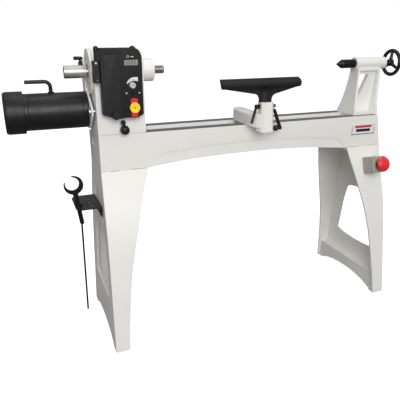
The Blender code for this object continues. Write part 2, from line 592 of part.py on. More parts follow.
# Belt access door on its hinge: a fixed block, a pin, and a lug on the door.
DOOR_AT = (DOOR_AXIS_X, DOOR_AXIS_Y, 1136.0)
door_line = [(-276, 979), (-245, 969), (-215, 962), (-206.1, 962.3), (-206.1, 1220), (-276, 1220)]
door_in = [(-273, 982), (-244, 971.8), (-214, 964.8), (-209.1, 965), (-209.1, 1217), (-273, 1217)]
door = plate("belt_door", door_line, "XZ", FACE, BACK, finish="black_plastic", at=DOOR_AT)
LATCH_X, LATCH_Z = -230.0, 976.0
cut(door, plate("door_hollow", door_in, "XZ", FACE + SKIN, -60))
join(door, rod("door_lug", (DOOR_AXIS_X, DOOR_AXIS_Y, 1176), (DOOR_AXIS_X, DOOR_AXIS_Y, 1213), 8.5,
               sides=16),
     block("door_lug_web", (DOOR_AXIS_X, -274.5), (-126.3, -110), (1176, 1213)))
cut(door, block("door_edge", (-213, -200), (-117, -50), (940, 1240)),
    rod("door_pin_hole", (DOOR_AXIS_X, DOOR_AXIS_Y, 1170), (DOOR_AXIS_X, DOOR_AXIS_Y, 1220), 4.4,
        sides=12),
    block("door_groove", (-261, -219), (-135, -128.6), (1195.5, 1199.5)),
    rod("door_latch_hole", (LATCH_X, -140, LATCH_Z), (LATCH_X, -120, LATCH_Z), 5.4, sides=12))
latch = turned("door_latch", [(0, -120.5), (6.4, -120.5), (6.4, -126.6), (5, -126.6), (5, -130.5),
                              (14, -130.5), (16, -132.5), (16, -142), (13, -146), (0, -146)],
               "Y", (LATCH_X, 0, LATCH_Z), finish="black_plastic",
               at=(LATCH_X, -130, LATCH_Z), steps=16)
cut(latch, block("latch_slot", (LATCH_X - 1.5, LATCH_X + 1.5), (-150, -144), (LATCH_Z - 20, LATCH_Z + 20)))

hinge = block("door_hinge_block", (-301.5, -279.5), (-124.5, BACK), (1097, 1175.4),
              finish="black_plastic", at=HEAD_AT)
cut(hinge, rod("hinge_block_hole", (DOOR_AXIS_X, DOOR_AXIS_Y, 1099),
               (DOOR_AXIS_X, DOOR_AXIS_Y, 1190), 4.4, sides=12))
turned("door_hinge_pin", [(0, 1227.5), (5, 1226.5), (8.5, 1223), (9.5, 1218), (9.5, 1213.4),
                          (4, 1213.4), (4, 1100), (0, 1100)], "Z", (DOOR_AXIS_X, DOOR_AXIS_Y, 0),
       finish="black_plastic", at=HEAD_AT, steps=16)

# Headstock lock: an eccentric shaft across the base lifts the clamp bolt.
lock_at = (LOCK_X, -100.0, LOCK_Z)
lock = turned("headstock_lock_lever", [(0, 52), (9.5, 52), (9.5, -96), (15, -97), (18, -101),
                                       (18, -116), (15, -124), (8, -128), (0, -129)],
              "Y", (LOCK_X, 0, LOCK_Z), finish="black_plastic", at=lock_at, steps=16)
join(lock, rod("lock_neck", (LOCK_X, -110, LOCK_Z), (-200, -114, 942), 6, 5, sides=12),
     ball("lock_ball", (-200, -114, 944), 10, sides=12))


def clamp(prefix, x, bolt_top, at):
    """A clamp plate under the ways and the bolt that pulls it up."""
    slab = block(prefix + "_clamp_plate", (x - 36, x + 36), (-56, 56), (857, WAY_UNDER - GAP),
                 finish="machined_iron", at=at)
    cut(slab, rod(prefix + "_plate_hole", (x, 0, 840), (x, 0, 880), 7.4, sides=12))
    bolt = rod(prefix + "_clamp_bolt", (x, 0, 846), (x, 0, 856.6), 12, finish="steel", at=at,
               sides=6)
    join(bolt, rod(prefix + "_bolt_shank", (x, 0, 850), (x, 0, bolt_top), 7, sides=12))


clamp("headstock", LOCK_X, LOCK_Z - 9.5 - GAP, (LOCK_X, 0, 865))

# ---------------------------------------------------------------------- motor
SWING_AT = (-309.0, PIVOT_Y, PIVOT_Z)
MOTOR_AT = (-400.0, MOTOR_Y, MOTOR_Z)
turned("motor_pivot_pin", [(0, -284), (8, -284), (8, -312.4), (13, -312.4), (14, -313.4),
                           (14, -319), (12, -321), (0, -321)], "X", (0, PIVOT_Y, PIVOT_Z),
       finish="steel", at=HEAD_AT, steps=16)
motor_plate = plate("motor_plate", round_belt((MOTOR_Y, MOTOR_Z), 76, (PIVOT_Y, PIVOT_Z), 24, 28, 12),
                    "YZ", -312, -305.4, finish="black_paint", at=SWING_AT)
arm_line = [(46, 1035), (50, 1120), (54, 1164), (62, 1174), (94, 1172), (108, 1152), (112, 1100),
            (104, 1015)]
stud_turn = math.radians(-6)
reach = Vector((75 - PIVOT_Y, 1152 - PIVOT_Z))
slot_end = (PIVOT_Y + reach.x * math.cos(stud_turn) - reach.y * math.sin(stud_turn),
            PIVOT_Z + reach.x * math.sin(stud_turn) + reach.y * math.cos(stud_turn))
join(motor_plate, plate("motor_arm", arm_line[::-1], "YZ", -312, -305.4))
cut(motor_plate,
    rod("plate_pivot_hole", (-330, PIVOT_Y, PIVOT_Z), (-290, PIVOT_Y, PIVOT_Z), 8.4, sides=16),
    rod("plate_shaft_hole", (-330, MOTOR_Y, MOTOR_Z), (-290, MOTOR_Y, MOTOR_Z), 30, sides=20),
    plate("plate_slot", round_belt((75, 1152), 6.4, slot_end, 6.4, 8, 8), "YZ", -330, -290))

stud_at = (-318.0, 75.0, 1152.0)
motor_lock = rod("motor_lock_lever", (-327, 75, 1152), (-312.4, 75, 1152), 10.5,
                 finish="black_plastic", at=stud_at, sides=16)
join(motor_lock, rod("stud", (-320, 75, 1152), (-287, 75, 1152), 5, sides=12),
     rod("stud_arm", (-320, 75, 1156), (-320, 75, 1176), 4.5, sides=12),
     rod("stud_knob", (-313.5, 75, 1176), (-338, 75, 1176), 6.6, 7.4, sides=16),
     ball("stud_knob_end", (-338, 75, 1176), 7.8, sides=12))

motor = turned("motor_body", [(68, -312.4), (71, -315.5), (71, -553), (77.4, -554), (77.4, -562),
                              (50.3, -562), (50.3, -332), (13, -332), (13, -312.4)], "X",
               (0, MOTOR_Y, MOTOR_Z), finish="black_paint", at=SWING_AT, closed=True, steps=28)
cut(motor, rod("motor_eye", (-445, MOTOR_Y, 1036), (-445, MOTOR_Y, 1070), 7.9, sides=12))
turned("motor_stator", [(49.5, -352), (49.5, -518), (41, -518), (41, -352)], "X",
       (0, MOTOR_Y, MOTOR_Z), finish="copper", at=SWING_AT, closed=True, steps=24)
cover = turned("motor_fan_cover", [(0, -620.5), (73, -620.5), (77.8, -616), (77.8, -551),
                                   (81, -551), (81, -617), (75, -624), (0, -624)], "X",
               (0, MOTOR_Y, MOTOR_Z), finish="black_plastic", at=SWING_AT, steps=28)
vents = []
for i in range(8):
    turn = math.radians(45 * i)
    y, z = MOTOR_Y + 46 * math.cos(turn), MOTOR_Z + 46 * math.sin(turn)
    vents.append(rod("vent_%d" % i, (-640, y, z), (-610, y, z), 11, sides=8))
cut(cover, *vents)
handle_path = ([(-445, MOTOR_Y, z) for z in (1038, 1056, 1072)]
               + [(x, MOTOR_Y, z) for x, z in arc(-467, 1072, 22, 15, 90, 6)]
               + [(-505, MOTOR_Y, 1094), (-541, MOTOR_Y, 1094)])
tube("motor_lift_handle", handle_path, 7.5, finish="black_paint", at=SWING_AT, fine=2)

turned("motor_rotor", [(0, -214), (9.5, -214), (9.5, -354), (40, -354), (40, -516), (9.5, -516),
                       (9.5, -602), (0, -602)], "X", (0, MOTOR_Y, MOTOR_Z), finish="steel",
       at=MOTOR_AT, steps=28)
turned("motor_pulley", [(MOTOR_STEP_BIG, -217), (MOTOR_STEP_BIG, -244.5),
                        (MOTOR_STEP_SMALL, -244.5), (MOTOR_STEP_SMALL, -268), (26, -268),
                        (26, -270.5), (9.8, -270.5), (9.8, -217)], "X", (0, MOTOR_Y, MOTOR_Z),
       finish="aluminium", at=MOTOR_AT, closed=True, steps=28)
fan = turned("cooling_fan", [(14, -572), (14, -586), (62, -586), (62, -589), (14, -589),
                             (14, -600), (9.8, -600), (9.8, -572)], "X", (0, MOTOR_Y, MOTOR_Z),
             finish="black_plastic", at=MOTOR_AT, closed=True, steps=28)
blades = []
for i in range(6):
    turn = math.radians(60 * i)
    blade = block("blade_%d" % i, (-608, -587), (18, 60), (-1.2, 1.2))
    blade.data.transform(Matrix.Translation((0, MOTOR_Y / 1000, MOTOR_Z / 1000))
                         @ Matrix.Rotation(turn, 4, "X"))
    blades.append(blade)
join(fan, *blades)

# ---------------------------------------------------------- tool-rest carriage
BANJO_AT = (BANJO_X, 0.0, 865.0)
clamp("banjo", BANJO_X, 921, BANJO_AT)
arm_section = ([(341, BED_TOP + GAP)] + arc(355, 936, 14, 180, 90, 5) + arc(385, 936, 14, 90, 0, 5)
               + [(399, BED_TOP + GAP)])
banjo = plate("banjo", arm_section, "XZ", -190, 62, finish="white_paint", at=BANJO_AT)
arm_top = ([(341, -135), (345, -152), (355, -168), (372, -180), (399, -180)] + arc(377, 36, 22, 0, 90, 6) + arc(363, 36, 22, 180, 90, 6)[::-1])
common(banjo, plate("banjo_arm_top", arm_top, "XY", 850, 1000))
POST_X = 395.0                                            # the post is a little off the bore
post_line = [(POST_X + sx * u, REST_Y + sy * v)
             for sx, sy, flip in ((1, 1, 0), (-1, 1, 1), (-1, -1, 0), (1, -1, 1))
             for u, v in ((30.5, 20), (18.5, 32))[::-1 if flip else 1]]
post = plate("banjo_post", post_line, "XY", 876, 1000)
for vert in post.data.vertices:
    if vert.co.z > 0.95:
        vert.co.x = (POST_X + (vert.co.x * 1000 - POST_X) * 0.885) / 1000
        vert.co.y = (REST_Y + (vert.co.y * 1000 - REST_Y) * 0.83) / 1000
join(banjo, post)
out = Vector((-1, 0, 0))                        # axis of the rest lock screw
rest_axis = Vector((REST_X, REST_Y, 981))
cut(banjo, rod("banjo_bore", (REST_X, REST_Y, 892), (REST_X, REST_Y, 1020), 13, sides=16),
    rod("banjo_lock_bore", rest_axis, rest_axis + out * 60, 5.4, sides=12),
    rod("banjo_lever_bore", (407, -150, 959), (450, -150, 959), 6.4, sides=12),
    block("banjo_slot", (BANJO_X - 8, BANJO_X + 8), (-70, 45), (880, 926)),
    block("banjo_recess", (352, 388), (-104, 46), (946.5, 960)))

lever_at = (433.0, -150.0, 959.0)
lever = tube("banjo_clamp_lever", [(433, -150, 962), (444, -150, 959), (459, -150, 922),
                                   (476, -150, 882)], 7.6, finish="black_plastic", at=lever_at,
             fine=3)
join(lever, rod("lever_stud", (411, -150, 959), (443, -150, 959), 6, sides=12),
     ball("lever_elbow", (476, -150, 881), 8.6, sides=12),
     rod("lever_foot", (476, -150, 881), (453, -156, 884), 7, sides=12),
     ball("lever_ball", (450, -157, 885), 13, sides=12))

post_at = (REST_X, REST_Y, 1000.0)
rod("tool_rest_post", (REST_X, REST_Y, 905), (REST_X, REST_Y, 1036), 12.7, finish="steel",
    at=post_at, sides=20)
rest_line = [(188, 1096), (195, 1057), (349, 1032), (358, 1025), (363, 1016), (364.5, 1000.6),
             (417.5, 1000.6), (419, 1016), (424, 1025), (433, 1031), (555, 1059), (553, 1086),
             (545, 1096)]
web_line = ([(192, 1088), (197.5, 1058.2)] + rest_line[2:10]
            + [(551.5, 1059.8), (549.5, 1084), (543, 1090)])
rest = plate("tool_rest", web_line, "XZ", -166, -152.5, finish="black_paint", at=post_at)
bar_line = [(-148, 1096), (-162, 1096), (-174, 1078), (-174, 1069), (-165, 1057), (-151, 1057)]
bar = plate("rest_bar", bar_line, "YZ", 180, 560)
common(bar, plate("rest_bar_ends", rest_line, "XZ", -200, -130))
neck = [(391 + 26.5 * math.cos(math.radians(a)), -158 + 18 * math.sin(math.radians(a)))
        for a in range(0, 360, 15)]
join(rest, bar, plate("rest_neck", neck, "XY", 1000.6, 1042))
cut(rest, rod("rest_socket", (REST_X, REST_Y, 980), (REST_X, REST_Y, 1036.4), 13, sides=20))

tip = Vector((333, -160, 918))
rest_lock = rod("rest_lock_lever", rest_axis + out * 24.5, rest_axis + out * 44, 9.8, 9,
                finish="black_plastic", at=rest_axis, sides=16)
join(rest_lock, rod("rest_lock_stud", rest_axis + out * 13.6, rest_axis + out * 30, 5, sides=12),
     rod("rest_lock_arm", rest_axis + out * 39, tip, 6.2, 5.4, sides=12),
     ball("rest_lock_tip", tip, 6.2, sides=12))

# ------------------------------------------------------------------ tailstock
TAIL_AT = (985.0, 0.0, BED_TOP)
side_line = [(928, BED_TOP + GAP), (934, 930), (941, 965), (948, 1010), (954, 1060), (958, 1112),
             (1090, 1112), (1086, 1050), (1077, 975), (1068, 905), (1067, BED_TOP + GAP)]
tail = plate("tailstock_casting", side_line[::-1], "XZ", -80, 80, finish="white_paint", at=TAIL_AT)
front_half = [(29, 1112), (32, 1073), (38, 1024), (45, 984), (55, 940), (67, 908),
              (67, BED_TOP + GAP - 1)]
common(tail, plate("tail_depth", both_sides([(v, z) for v, z in front_half]), "YZ", 900, 1120))
barrel = rod("tail_barrel", (950, 0, SPINDLE_HEIGHT), (1123, 0, SPINDLE_HEIGHT), 29, sides=24)
join(tail, barrel, block("tail_tenon", (934, 1024), (-39.3, 39.3), (881, BED_TOP + 6)))
TAIL_LOCK_X, TAIL_LOCK_Z, QUILL_LOCK_X = 985.0, 925.0, 1010.0
# Two flanges joined by a web: the sides are hollowed out to the web.
tail_side = [(946, 906), (950, 930), (955, 965), (960, 1010), (965, 1060), (969, 1098),
             (1075, 1098), (1071, 1050), (1063, 975), (1054, 906)]
tail_rear = [(952, 945), (955, 965), (960, 1010), (965, 1060), (969, 1098), (1075, 1098),
             (1071, 1050), (1063, 975), (1059, 945)]
cut(tail, plate("tail_window", [(966, 948), (974, 1079), (1036, 1079), (978, 949)][::-1], "XZ",
                -100, 100),
    plate("tail_front_pocket", tail_side[::-1], "XZ", -100, -12),
    plate("tail_rear_pocket", tail_rear[::-1], "XZ", 12, 100),
    rod("tail_bore", (930, 0, SPINDLE_HEIGHT), (1140, 0, SPINDLE_HEIGHT), 20.3, sides=24),
    rod("tail_lock_bore", (TAIL_LOCK_X, -8.6, TAIL_LOCK_Z), (TAIL_LOCK_X, 100, TAIL_LOCK_Z), 9.9,
        sides=16),
    rod("tail_clamp_hole", (TAIL_LOCK_X, 0, 860), (TAIL_LOCK_X, 0, TAIL_LOCK_Z), 8, sides=12),
    rod("tail_quill_bore", (QUILL_LOCK_X, 10, SPINDLE_HEIGHT), (QUILL_LOCK_X, 50, SPINDLE_HEIGHT),
        4.4, sides=12))
clamp("tailstock", TAIL_LOCK_X, TAIL_LOCK_Z - 9.5 - GAP, (TAIL_LOCK_X, 0, 865))

QUILL_AT = (948.0, 0.0, SPINDLE_HEIGHT)
turned("quill", [(19, 1075), (20, 1074), (20, 898), (18, 896), (7.4, 896), (7.4, 921), (8.5, 923),
                 (8.5, 1075)], "X", (0, 0, SPINDLE_HEIGHT), finish="black_oxide", at=QUILL_AT,
       closed=True, steps=24)
turned("live_center", [(0, 919), (7, 919), (7, 895.6), (12.5, 895.6), (12.5, 893), (20, 893),
                       (20, 880), (18.5, 877.5), (0, 847.5)], "X", (0, 0, SPINDLE_HEIGHT),
       finish="black_oxide", at=(880, 0, SPINDLE_HEIGHT))

wheel_at = (WHEEL_X, 0.0, SPINDLE_HEIGHT)
ring = [(WHEEL_R + WHEEL_TUBE * math.cos(math.radians(a)), WHEEL_X + WHEEL_TUBE * math.sin(math.radians(a)))
        for a in range(90, -270, -45)]
wheel = turned("tailstock_handwheel", [(0, WHEEL_X + 6), (14, WHEEL_X + 6), (17, WHEEL_X + 2),
                                       (17, WHEEL_X - 14), (13, 1150), (14, 1123.4), (0, 1123.4)],
               "X", (0, 0, SPINDLE_HEIGHT), finish="black_plastic", at=wheel_at, steps=16)
spokes = []
for i, angle in enumerate((90, 210, 330)):
    turn = math.radians(angle)
    y, z = math.cos(turn), math.sin(turn)
    spokes.append(rod("spoke_%d" % i, (WHEEL_X - 6, 8 * y, SPINDLE_HEIGHT + 8 * z),
                      (WHEEL_X, WHEEL_R * y, SPINDLE_HEIGHT + WHEEL_R * z), 9, 6.5, sides=12))
join(wheel, turned("wheel_rim", ring, "X", (0, 0, SPINDLE_HEIGHT), closed=True, steps=24), *spokes)
cut(wheel, rod("wheel_bore", (1110, 0, SPINDLE_HEIGHT), (1160.5, 0, SPINDLE_HEIGHT), 8.4, sides=16))
turned("lead_screw", [(0, 1160), (8, 1160), (8, 1121), (19.8, 1121), (19.8, 1111), (8, 1111),
                      (8, 970), (6.5, 968), (0, 968)], "X", (0, 0, SPINDLE_HEIGHT),
       finish="black_plastic", at=wheel_at, steps=16)

tail_lock = turned("tailstock_lock_lever", [(0, 92), (11, 92), (15, 88), (15, 72), (13, 70.5),
                                            (9.5, 70.5), (9.5, -8), (0, -8)], "Y",
                   (TAIL_LOCK_X, 0, TAIL_LOCK_Z), finish="black_plastic",
                   at=(TAIL_LOCK_X, 80, TAIL_LOCK_Z), steps=16)
join(tail_lock, rod("tail_lock_arm", (TAIL_LOCK_X, 82, TAIL_LOCK_Z), (1008, 96, 992), 6.5, 5.5,
                    sides=12), ball("tail_lock_ball", (1009, 97, 998), 12, sides=12))
quill_lock = turned("quill_lock_lever", [(0, 46), (6, 46), (7.5, 44), (7.5, 30.5), (4, 30.5),
                                         (4, 20.9), (0, 20.9)], "Y",
                    (QUILL_LOCK_X, 0, SPINDLE_HEIGHT), finish="black_plastic",
                    at=(QUILL_LOCK_X, 36, SPINDLE_HEIGHT), steps=16)
join(quill_lock, rod("quill_lock_arm", (QUILL_LOCK_X, 39, SPINDLE_HEIGHT), (1004, 52, 1095), 4.4,
                     3.8, sides=12), ball("quill_lock_ball", (1003.5, 53, 1092), 7, sides=12))
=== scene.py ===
import json
import math

import bmesh
import bpy
from mathutils import Matrix, Vector

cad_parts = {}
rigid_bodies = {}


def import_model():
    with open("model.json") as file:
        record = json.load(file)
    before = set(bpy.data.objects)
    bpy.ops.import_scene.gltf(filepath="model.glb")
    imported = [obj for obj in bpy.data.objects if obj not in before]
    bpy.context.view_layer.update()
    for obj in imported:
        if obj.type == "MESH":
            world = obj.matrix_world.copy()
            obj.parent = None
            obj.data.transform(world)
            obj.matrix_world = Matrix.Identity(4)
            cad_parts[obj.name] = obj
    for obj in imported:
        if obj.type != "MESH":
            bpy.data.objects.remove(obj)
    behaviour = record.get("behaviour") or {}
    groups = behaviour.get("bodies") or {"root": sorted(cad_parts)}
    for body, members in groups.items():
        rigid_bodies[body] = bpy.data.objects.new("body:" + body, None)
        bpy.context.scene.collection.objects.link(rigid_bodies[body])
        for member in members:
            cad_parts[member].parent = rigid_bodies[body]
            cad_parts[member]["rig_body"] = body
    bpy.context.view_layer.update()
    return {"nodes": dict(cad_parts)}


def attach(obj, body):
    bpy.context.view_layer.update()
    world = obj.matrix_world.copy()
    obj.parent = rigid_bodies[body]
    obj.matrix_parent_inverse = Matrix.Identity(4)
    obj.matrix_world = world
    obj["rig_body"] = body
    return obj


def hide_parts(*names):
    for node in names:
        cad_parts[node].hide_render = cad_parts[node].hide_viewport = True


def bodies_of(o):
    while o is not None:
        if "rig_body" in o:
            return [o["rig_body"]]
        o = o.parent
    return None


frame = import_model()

NODES = frame["nodes"]
HIGH = 1130.0                     # spindle axis


def mm(x, y, z):
    """A point in the machine's own millimetres, as metres in the frame."""
    return Vector(((x - 280) / 1000, y / 1000, z / 1000))


# ------------------------------------------------------------------ materials
def lin(rgb):
    """sRGB 0-255 to linear."""
    out = []
    for c in rgb:
        c = c / 255
        out.append(c / 12.92 if c <= 0.04045 else ((c + 0.055) / 1.055) ** 2.4)
    return (*out, 1)


class Graph:
    def __init__(self, name):
        self.mat = bpy.data.materials.new(name)
        self.mat.use_nodes = True
        self.nt = self.mat.node_tree
        self.nt.nodes.clear()
        self.out = self.add("ShaderNodeOutputMaterial")
        self.bsdf = self.add("ShaderNodeBsdfPrincipled")
        self.link(self.bsdf.outputs[0], self.out.inputs[0])
        self.coord = self.add("ShaderNodeTexCoord").outputs["Object"]

    def add(self, kind, **sets):
        n = self.nt.nodes.new(kind)
        for k, v in sets.items():
            setattr(n, k, v)
        return n

    def link(self, a, b):
        self.nt.links.new(a, b)

    def noise(self, scale, detail=3, stretch=(1, 1, 1), rough=0.5):
        m = self.add("ShaderNodeMapping")
        m.inputs["Scale"].default_value = stretch
        self.link(self.coord, m.inputs[0])
        n = self.add("ShaderNodeTexNoise")
        n.inputs["Scale"].default_value = scale
        n.inputs["Detail"].default_value = detail
        n.inputs["Roughness"].default_value = rough
        self.link(m.outputs[0], n.inputs["Vector"])
        return n.outputs[0]

    def ranged(self, value, a, b, lo=0.3, hi=0.7):
        r = self.add("ShaderNodeMapRange")
        r.inputs[1].default_value, r.inputs[2].default_value = lo, hi
        r.inputs[3].default_value, r.inputs[4].default_value = a, b
        self.link(value, r.inputs[0])
        return r.outputs[0]

    def math(self, op, a, b):
        n = self.add("ShaderNodeMath", operation=op)
        for i, v in enumerate((a, b)):
            if isinstance(v, (int, float)):
                n.inputs[i].default_value = v
            else:
                self.link(v, n.inputs[i])
        return n.outputs[0]

    def mix(self, fac, a, b):
        n = self.add("ShaderNodeMix", data_type="RGBA")
        self.link(fac, n.inputs[0])
        for i, v in ((6, a), (7, b)):
            if isinstance(v, tuple):
                n.inputs[i].default_value = v
            else:
                self.link(v, n.inputs[i])
        return n.outputs[2]

    def edges(self, radius, lo=0.80, hi=0.985):
        """1 on sharp outer edges, 0 elsewhere."""
        bev = self.add("ShaderNodeBevel", samples=4)
        bev.inputs["Radius"].default_value = radius
        geo = self.add("ShaderNodeNewGeometry")
        dot = self.add("ShaderNodeVectorMath", operation="DOT_PRODUCT")
        self.link(bev.outputs[0], dot.inputs[0])
        self.link(geo.outputs["Normal"], dot.inputs[1])
        return self.ranged(dot.outputs["Value"], 1, 0, lo, hi)


def finish(name, colour, rough, metal=0.0, vary=0.05, big=7, fine=260, grain=0.12, depth=0.0002,
           rv=0.07, stretch=(1, 1, 1), wear=None, wear_at=0.35, coat=0.0, spec=0.5, peel=0.0,
           dust=None):
    g = Graph(name)
    base = lin(colour)
    dark = tuple(c * (1 - vary) for c in base[:3]) + (1,)
    light = tuple(min(1, c * (1 + vary)) for c in base[:3]) + (1,)
    cloud = g.noise(big, 4, stretch)
    tint = g.mix(g.ranged(cloud, 0, 1, 0.32, 0.68), dark, light)
    small = g.noise(fine, 3, stretch, 0.6)
    speck = g.ranged(small, 0, 0.35 * min(1, vary * 8), 0.5, 0.75)
    tint = g.mix(speck, tint, dark)
    if dust:
        geo = g.add("ShaderNodeNewGeometry")
        sep = g.add("ShaderNodeSeparateXYZ")
        g.link(geo.outputs["Normal"], sep.inputs[0])
        up = g.math("MULTIPLY", g.ranged(sep.outputs[2], 0, 1, 0.5, 1.0),
                    g.ranged(g.noise(18, 5), 0.0, 0.35, 0.35, 0.75))
        tint = g.mix(up, tint, lin(dust))
    if wear:
        worn = g.math("MULTIPLY", g.edges(0.0012), g.ranged(g.noise(90, 4), 0, 1, wear_at, wear_at + 0.3))
        tint = g.mix(worn, tint, lin(wear))
    g.link(tint, g.bsdf.inputs["Base Color"])
    g.link(g.ranged(g.noise(big * 5, 4, stretch), max(0.04, rough - rv), min(1, rough + rv)),
           g.bsdf.inputs["Roughness"])
    g.bsdf.inputs["Metallic"].default_value = metal
    g.bsdf.inputs["Specular IOR Level"].default_value = spec
    if coat:
        g.bsdf.inputs["Coat Weight"].default_value = coat
        g.bsdf.inputs["Coat Roughness"].default_value = 0.12
    bump = g.add("ShaderNodeBump")
    bump.inputs["Strength"].default_value = grain
    bump.inputs["Distance"].default_value = depth
    g.link(small, bump.inputs["Height"])
    last = bump
    if peel:
        wave = g.add("ShaderNodeBump")
        wave.inputs["Strength"].default_value = peel
        wave.inputs["Distance"].default_value = 0.0012
        g.link(g.noise(55, 2), wave.inputs["Height"])
        g.link(bump.outputs[0], wave.inputs["Normal"])
        last = wave
    g.link(last.outputs[0], g.bsdf.inputs["Normal"])
    return g.mat


WHITE = finish("white_enamel", (238, 237, 232), 0.40, vary=0.022, big=4, fine=420, grain=0.18,
               peel=0.16, rv=0.05, wear=(206, 203, 196), wear_at=0.55, dust=(230, 226, 214))
WAY = finish("ground_iron", (112, 111, 108), 0.36, metal=0.85, vary=0.16, big=16, fine=500,
             stretch=(1, 14, 14), grain=0.25, rv=0.09, wear=(180, 178, 172))
STEEL = finish("bright_steel", (178, 178, 180), 0.27, metal=1.0, vary=0.08, big=30, fine=900,
               stretch=(8, 1, 1), grain=0.12, rv=0.07, wear=(225, 225, 226))
DARK_STEEL = finish("oxide_steel", (38, 38, 40), 0.38, metal=0.75, vary=0.14, big=22, fine=700,
                    grain=0.16, rv=0.09, wear=(128, 127, 125), wear_at=0.42)
ALU = finish("turned_aluminium", (196, 195, 193), 0.46, metal=1.0, vary=0.06, big=40, fine=1100,
             stretch=(9, 1, 1), grain=0.15, rv=0.07, wear=(232, 232, 233))
CAST = finish("raw_cast_iron", (84, 82, 79), 0.55, metal=0.6, vary=0.18, big=24, fine=480,
              grain=0.5, depth=0.0004, wear=(140, 138, 134))
PLASTIC = finish("moulded_black", (25, 25, 26), 0.46, vary=0.10, big=14, fine=950, grain=0.22,
                 rv=0.06, wear=(74, 74, 75), wear_at=0.5, spec=0.35)
GRIP = finish("satin_black_grip", (22, 22, 23), 0.36, vary=0.10, big=20, fine=700, grain=0.12,
              rv=0.06, wear=(62, 62, 63), wear_at=0.5, spec=0.4)
DOOR = finish("door_black", (20, 20, 21), 0.56, vary=0.10, big=9, fine=1100, grain=0.35, rv=0.06,
              wear=(72, 72, 73), wear_at=0.5, spec=0.35, dust=(58, 57, 55))
PANEL = finish("panel_black", (17, 17, 18), 0.36, vary=0.10, big=9, fine=1300, grain=0.20,
               rv=0.05, wear=(60, 60, 62), wear_at=0.5, spec=0.35, coat=0.08)
MOTOR = finish("motor_enamel", (17, 17, 18), 0.42, vary=0.10, big=10, fine=520, grain=0.28,
               peel=0.10, rv=0.06, wear=(84, 83, 82), wear_at=0.5, spec=0.42, dust=(56, 55, 53))
COVER = finish("fan_cover_black", (15, 15, 16), 0.46, vary=0.10, big=10, fine=620, grain=0.24,
               rv=0.06, wear=(74, 73, 72), wear_at=0.5, spec=0.40, dust=(50, 49, 47))
BLACK_PAINT = finish("rest_enamel", (27, 27, 28), 0.46, vary=0.12, big=12, fine=380, grain=0.45,
                     depth=0.0003, rv=0.07, wear=(104, 102, 98), wear_at=0.5, spec=0.38, dust=(52, 50, 46))
RUBBER = finish("belt_rubber", (24, 24, 24), 0.78, vary=0.12, big=30, fine=800, grain=0.4)
RED = finish("red_moulding", (226, 36, 44), 0.34, vary=0.05, big=26, fine=900, grain=0.12,
             rv=0.05, wear=(236, 96, 92), wear_at=0.5, coat=0.2)
YELLOW = finish("yellow_moulding", (250, 216, 44), 0.36, vary=0.05, big=26, fine=900, grain=0.12,
                rv=0.05, wear=(252, 226, 110), wear_at=0.5, coat=0.15)
GREY = finish("grey_moulding", (172, 168, 157), 0.50, vary=0.05, big=14, fine=900, grain=0.30,
              rv=0.05, wear=(206, 203, 195), wear_at=0.5)
KNOB = finish("pale_knob", (196, 196, 196), 0.36, vary=0.05, big=40, fine=900, grain=0.15,
              rv=0.05, wear=(222, 222, 222), wear_at=0.5)
LENS = finish("display_grey", (150, 154, 150), 0.20, vary=0.05, big=30, fine=1500, grain=0.05,
              rv=0.03, coat=0.6)
MARK = finish("printed_white", (226, 227, 228), 0.45, vary=0.04, big=60, fine=1600, grain=0.10,
              rv=0.04)
INK = finish("printed_dark", (30, 32, 34), 0.45, vary=0.08, big=60, fine=1600, grain=0.10,
             rv=0.04)
PLATE = finish("plate_satin", (238, 238, 238), 0.30, vary=0.03, big=20, fine=1400,
               stretch=(1, 1, 12), grain=0.12, rv=0.05, coat=0.3)
PLATE_RED = finish("plate_red", (205, 40, 44), 0.34, vary=0.05, big=30, fine=1400, grain=0.10,
                   rv=0.04, coat=0.3)
COPPER = finish("copper_winding", (176, 112, 70), 0.36, metal=1.0, vary=0.14, big=30, fine=700,
                stretch=(20, 1, 1), grain=0.4, depth=0.0005)
# Painted shade: a matte near-black for flat sheets laid on the panel where there is only shade.
SHADE_BLACK = finish("shadow_black", (12, 12, 13), 0.7, vary=0.15, big=20, fine=600, grain=0.2)
STUB = finish("zinc_grey", (132, 132, 134), 0.34, metal=0.9, vary=0.10, big=30, fine=700,
              grain=0.2, wear=(190, 190, 190))


# ------------------------------------------------------------------- builders
def body_of(node):
    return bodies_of(NODES[node])[0]


def made(name, mesh, mats, body, nodes=(), smooth=35):
    for poly in mesh.polygons:
        poly.use_smooth = True
    mesh.set_sharp_from_angle(angle=math.radians(smooth))
    obj = bpy.data.objects.new(name, mesh)
    bpy.context.scene.collection.objects.link(obj)
    keep = [p.material_index for p in mesh.polygons]
    mesh.materials.clear()
    for m in (mats if isinstance(mats, (list, tuple)) else [mats]):
        mesh.materials.append(m)
    for p, i in zip(mesh.polygons, keep):
        p.material_index = i
    if body:
        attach(obj, body)
    if nodes:
        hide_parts(*nodes)
    return obj


def to_mesh(name, bm):
    mesh = bpy.data.meshes.new(name)
    bm.normal_update()
    bm.to_mesh(mesh)
    bm.free()
    return mesh


def bevel(obj, width, angle=34, segments=3, profile=0.6, clamp=False):
    m = obj.modifiers.new("edge", "BEVEL")
    m.width = width / 1000
    m.segments = segments
    m.profile = profile
    m.limit_method = "ANGLE"
    m.angle_limit = math.radians(angle)
    m.harden_normals = True
    m.use_clamp_overlap = clamp
    m.miter_outer = "MITER_ARC"
    return obj


def clean_copy(node, flat=1.0):
    """The CAD node's mesh with doubled points merged and coplanar triangles joined."""
    bm = bmesh.new()
    bm.from_mesh(NODES[node].data)
    bmesh.ops.remove_doubles(bm, verts=bm.verts, dist=2e-5)
    bmesh.ops.dissolve_limit(bm, angle_limit=math.radians(flat), verts=bm.verts, edges=bm.edges)
    for f in bm.faces:
        f.material_index = 0
    return bm


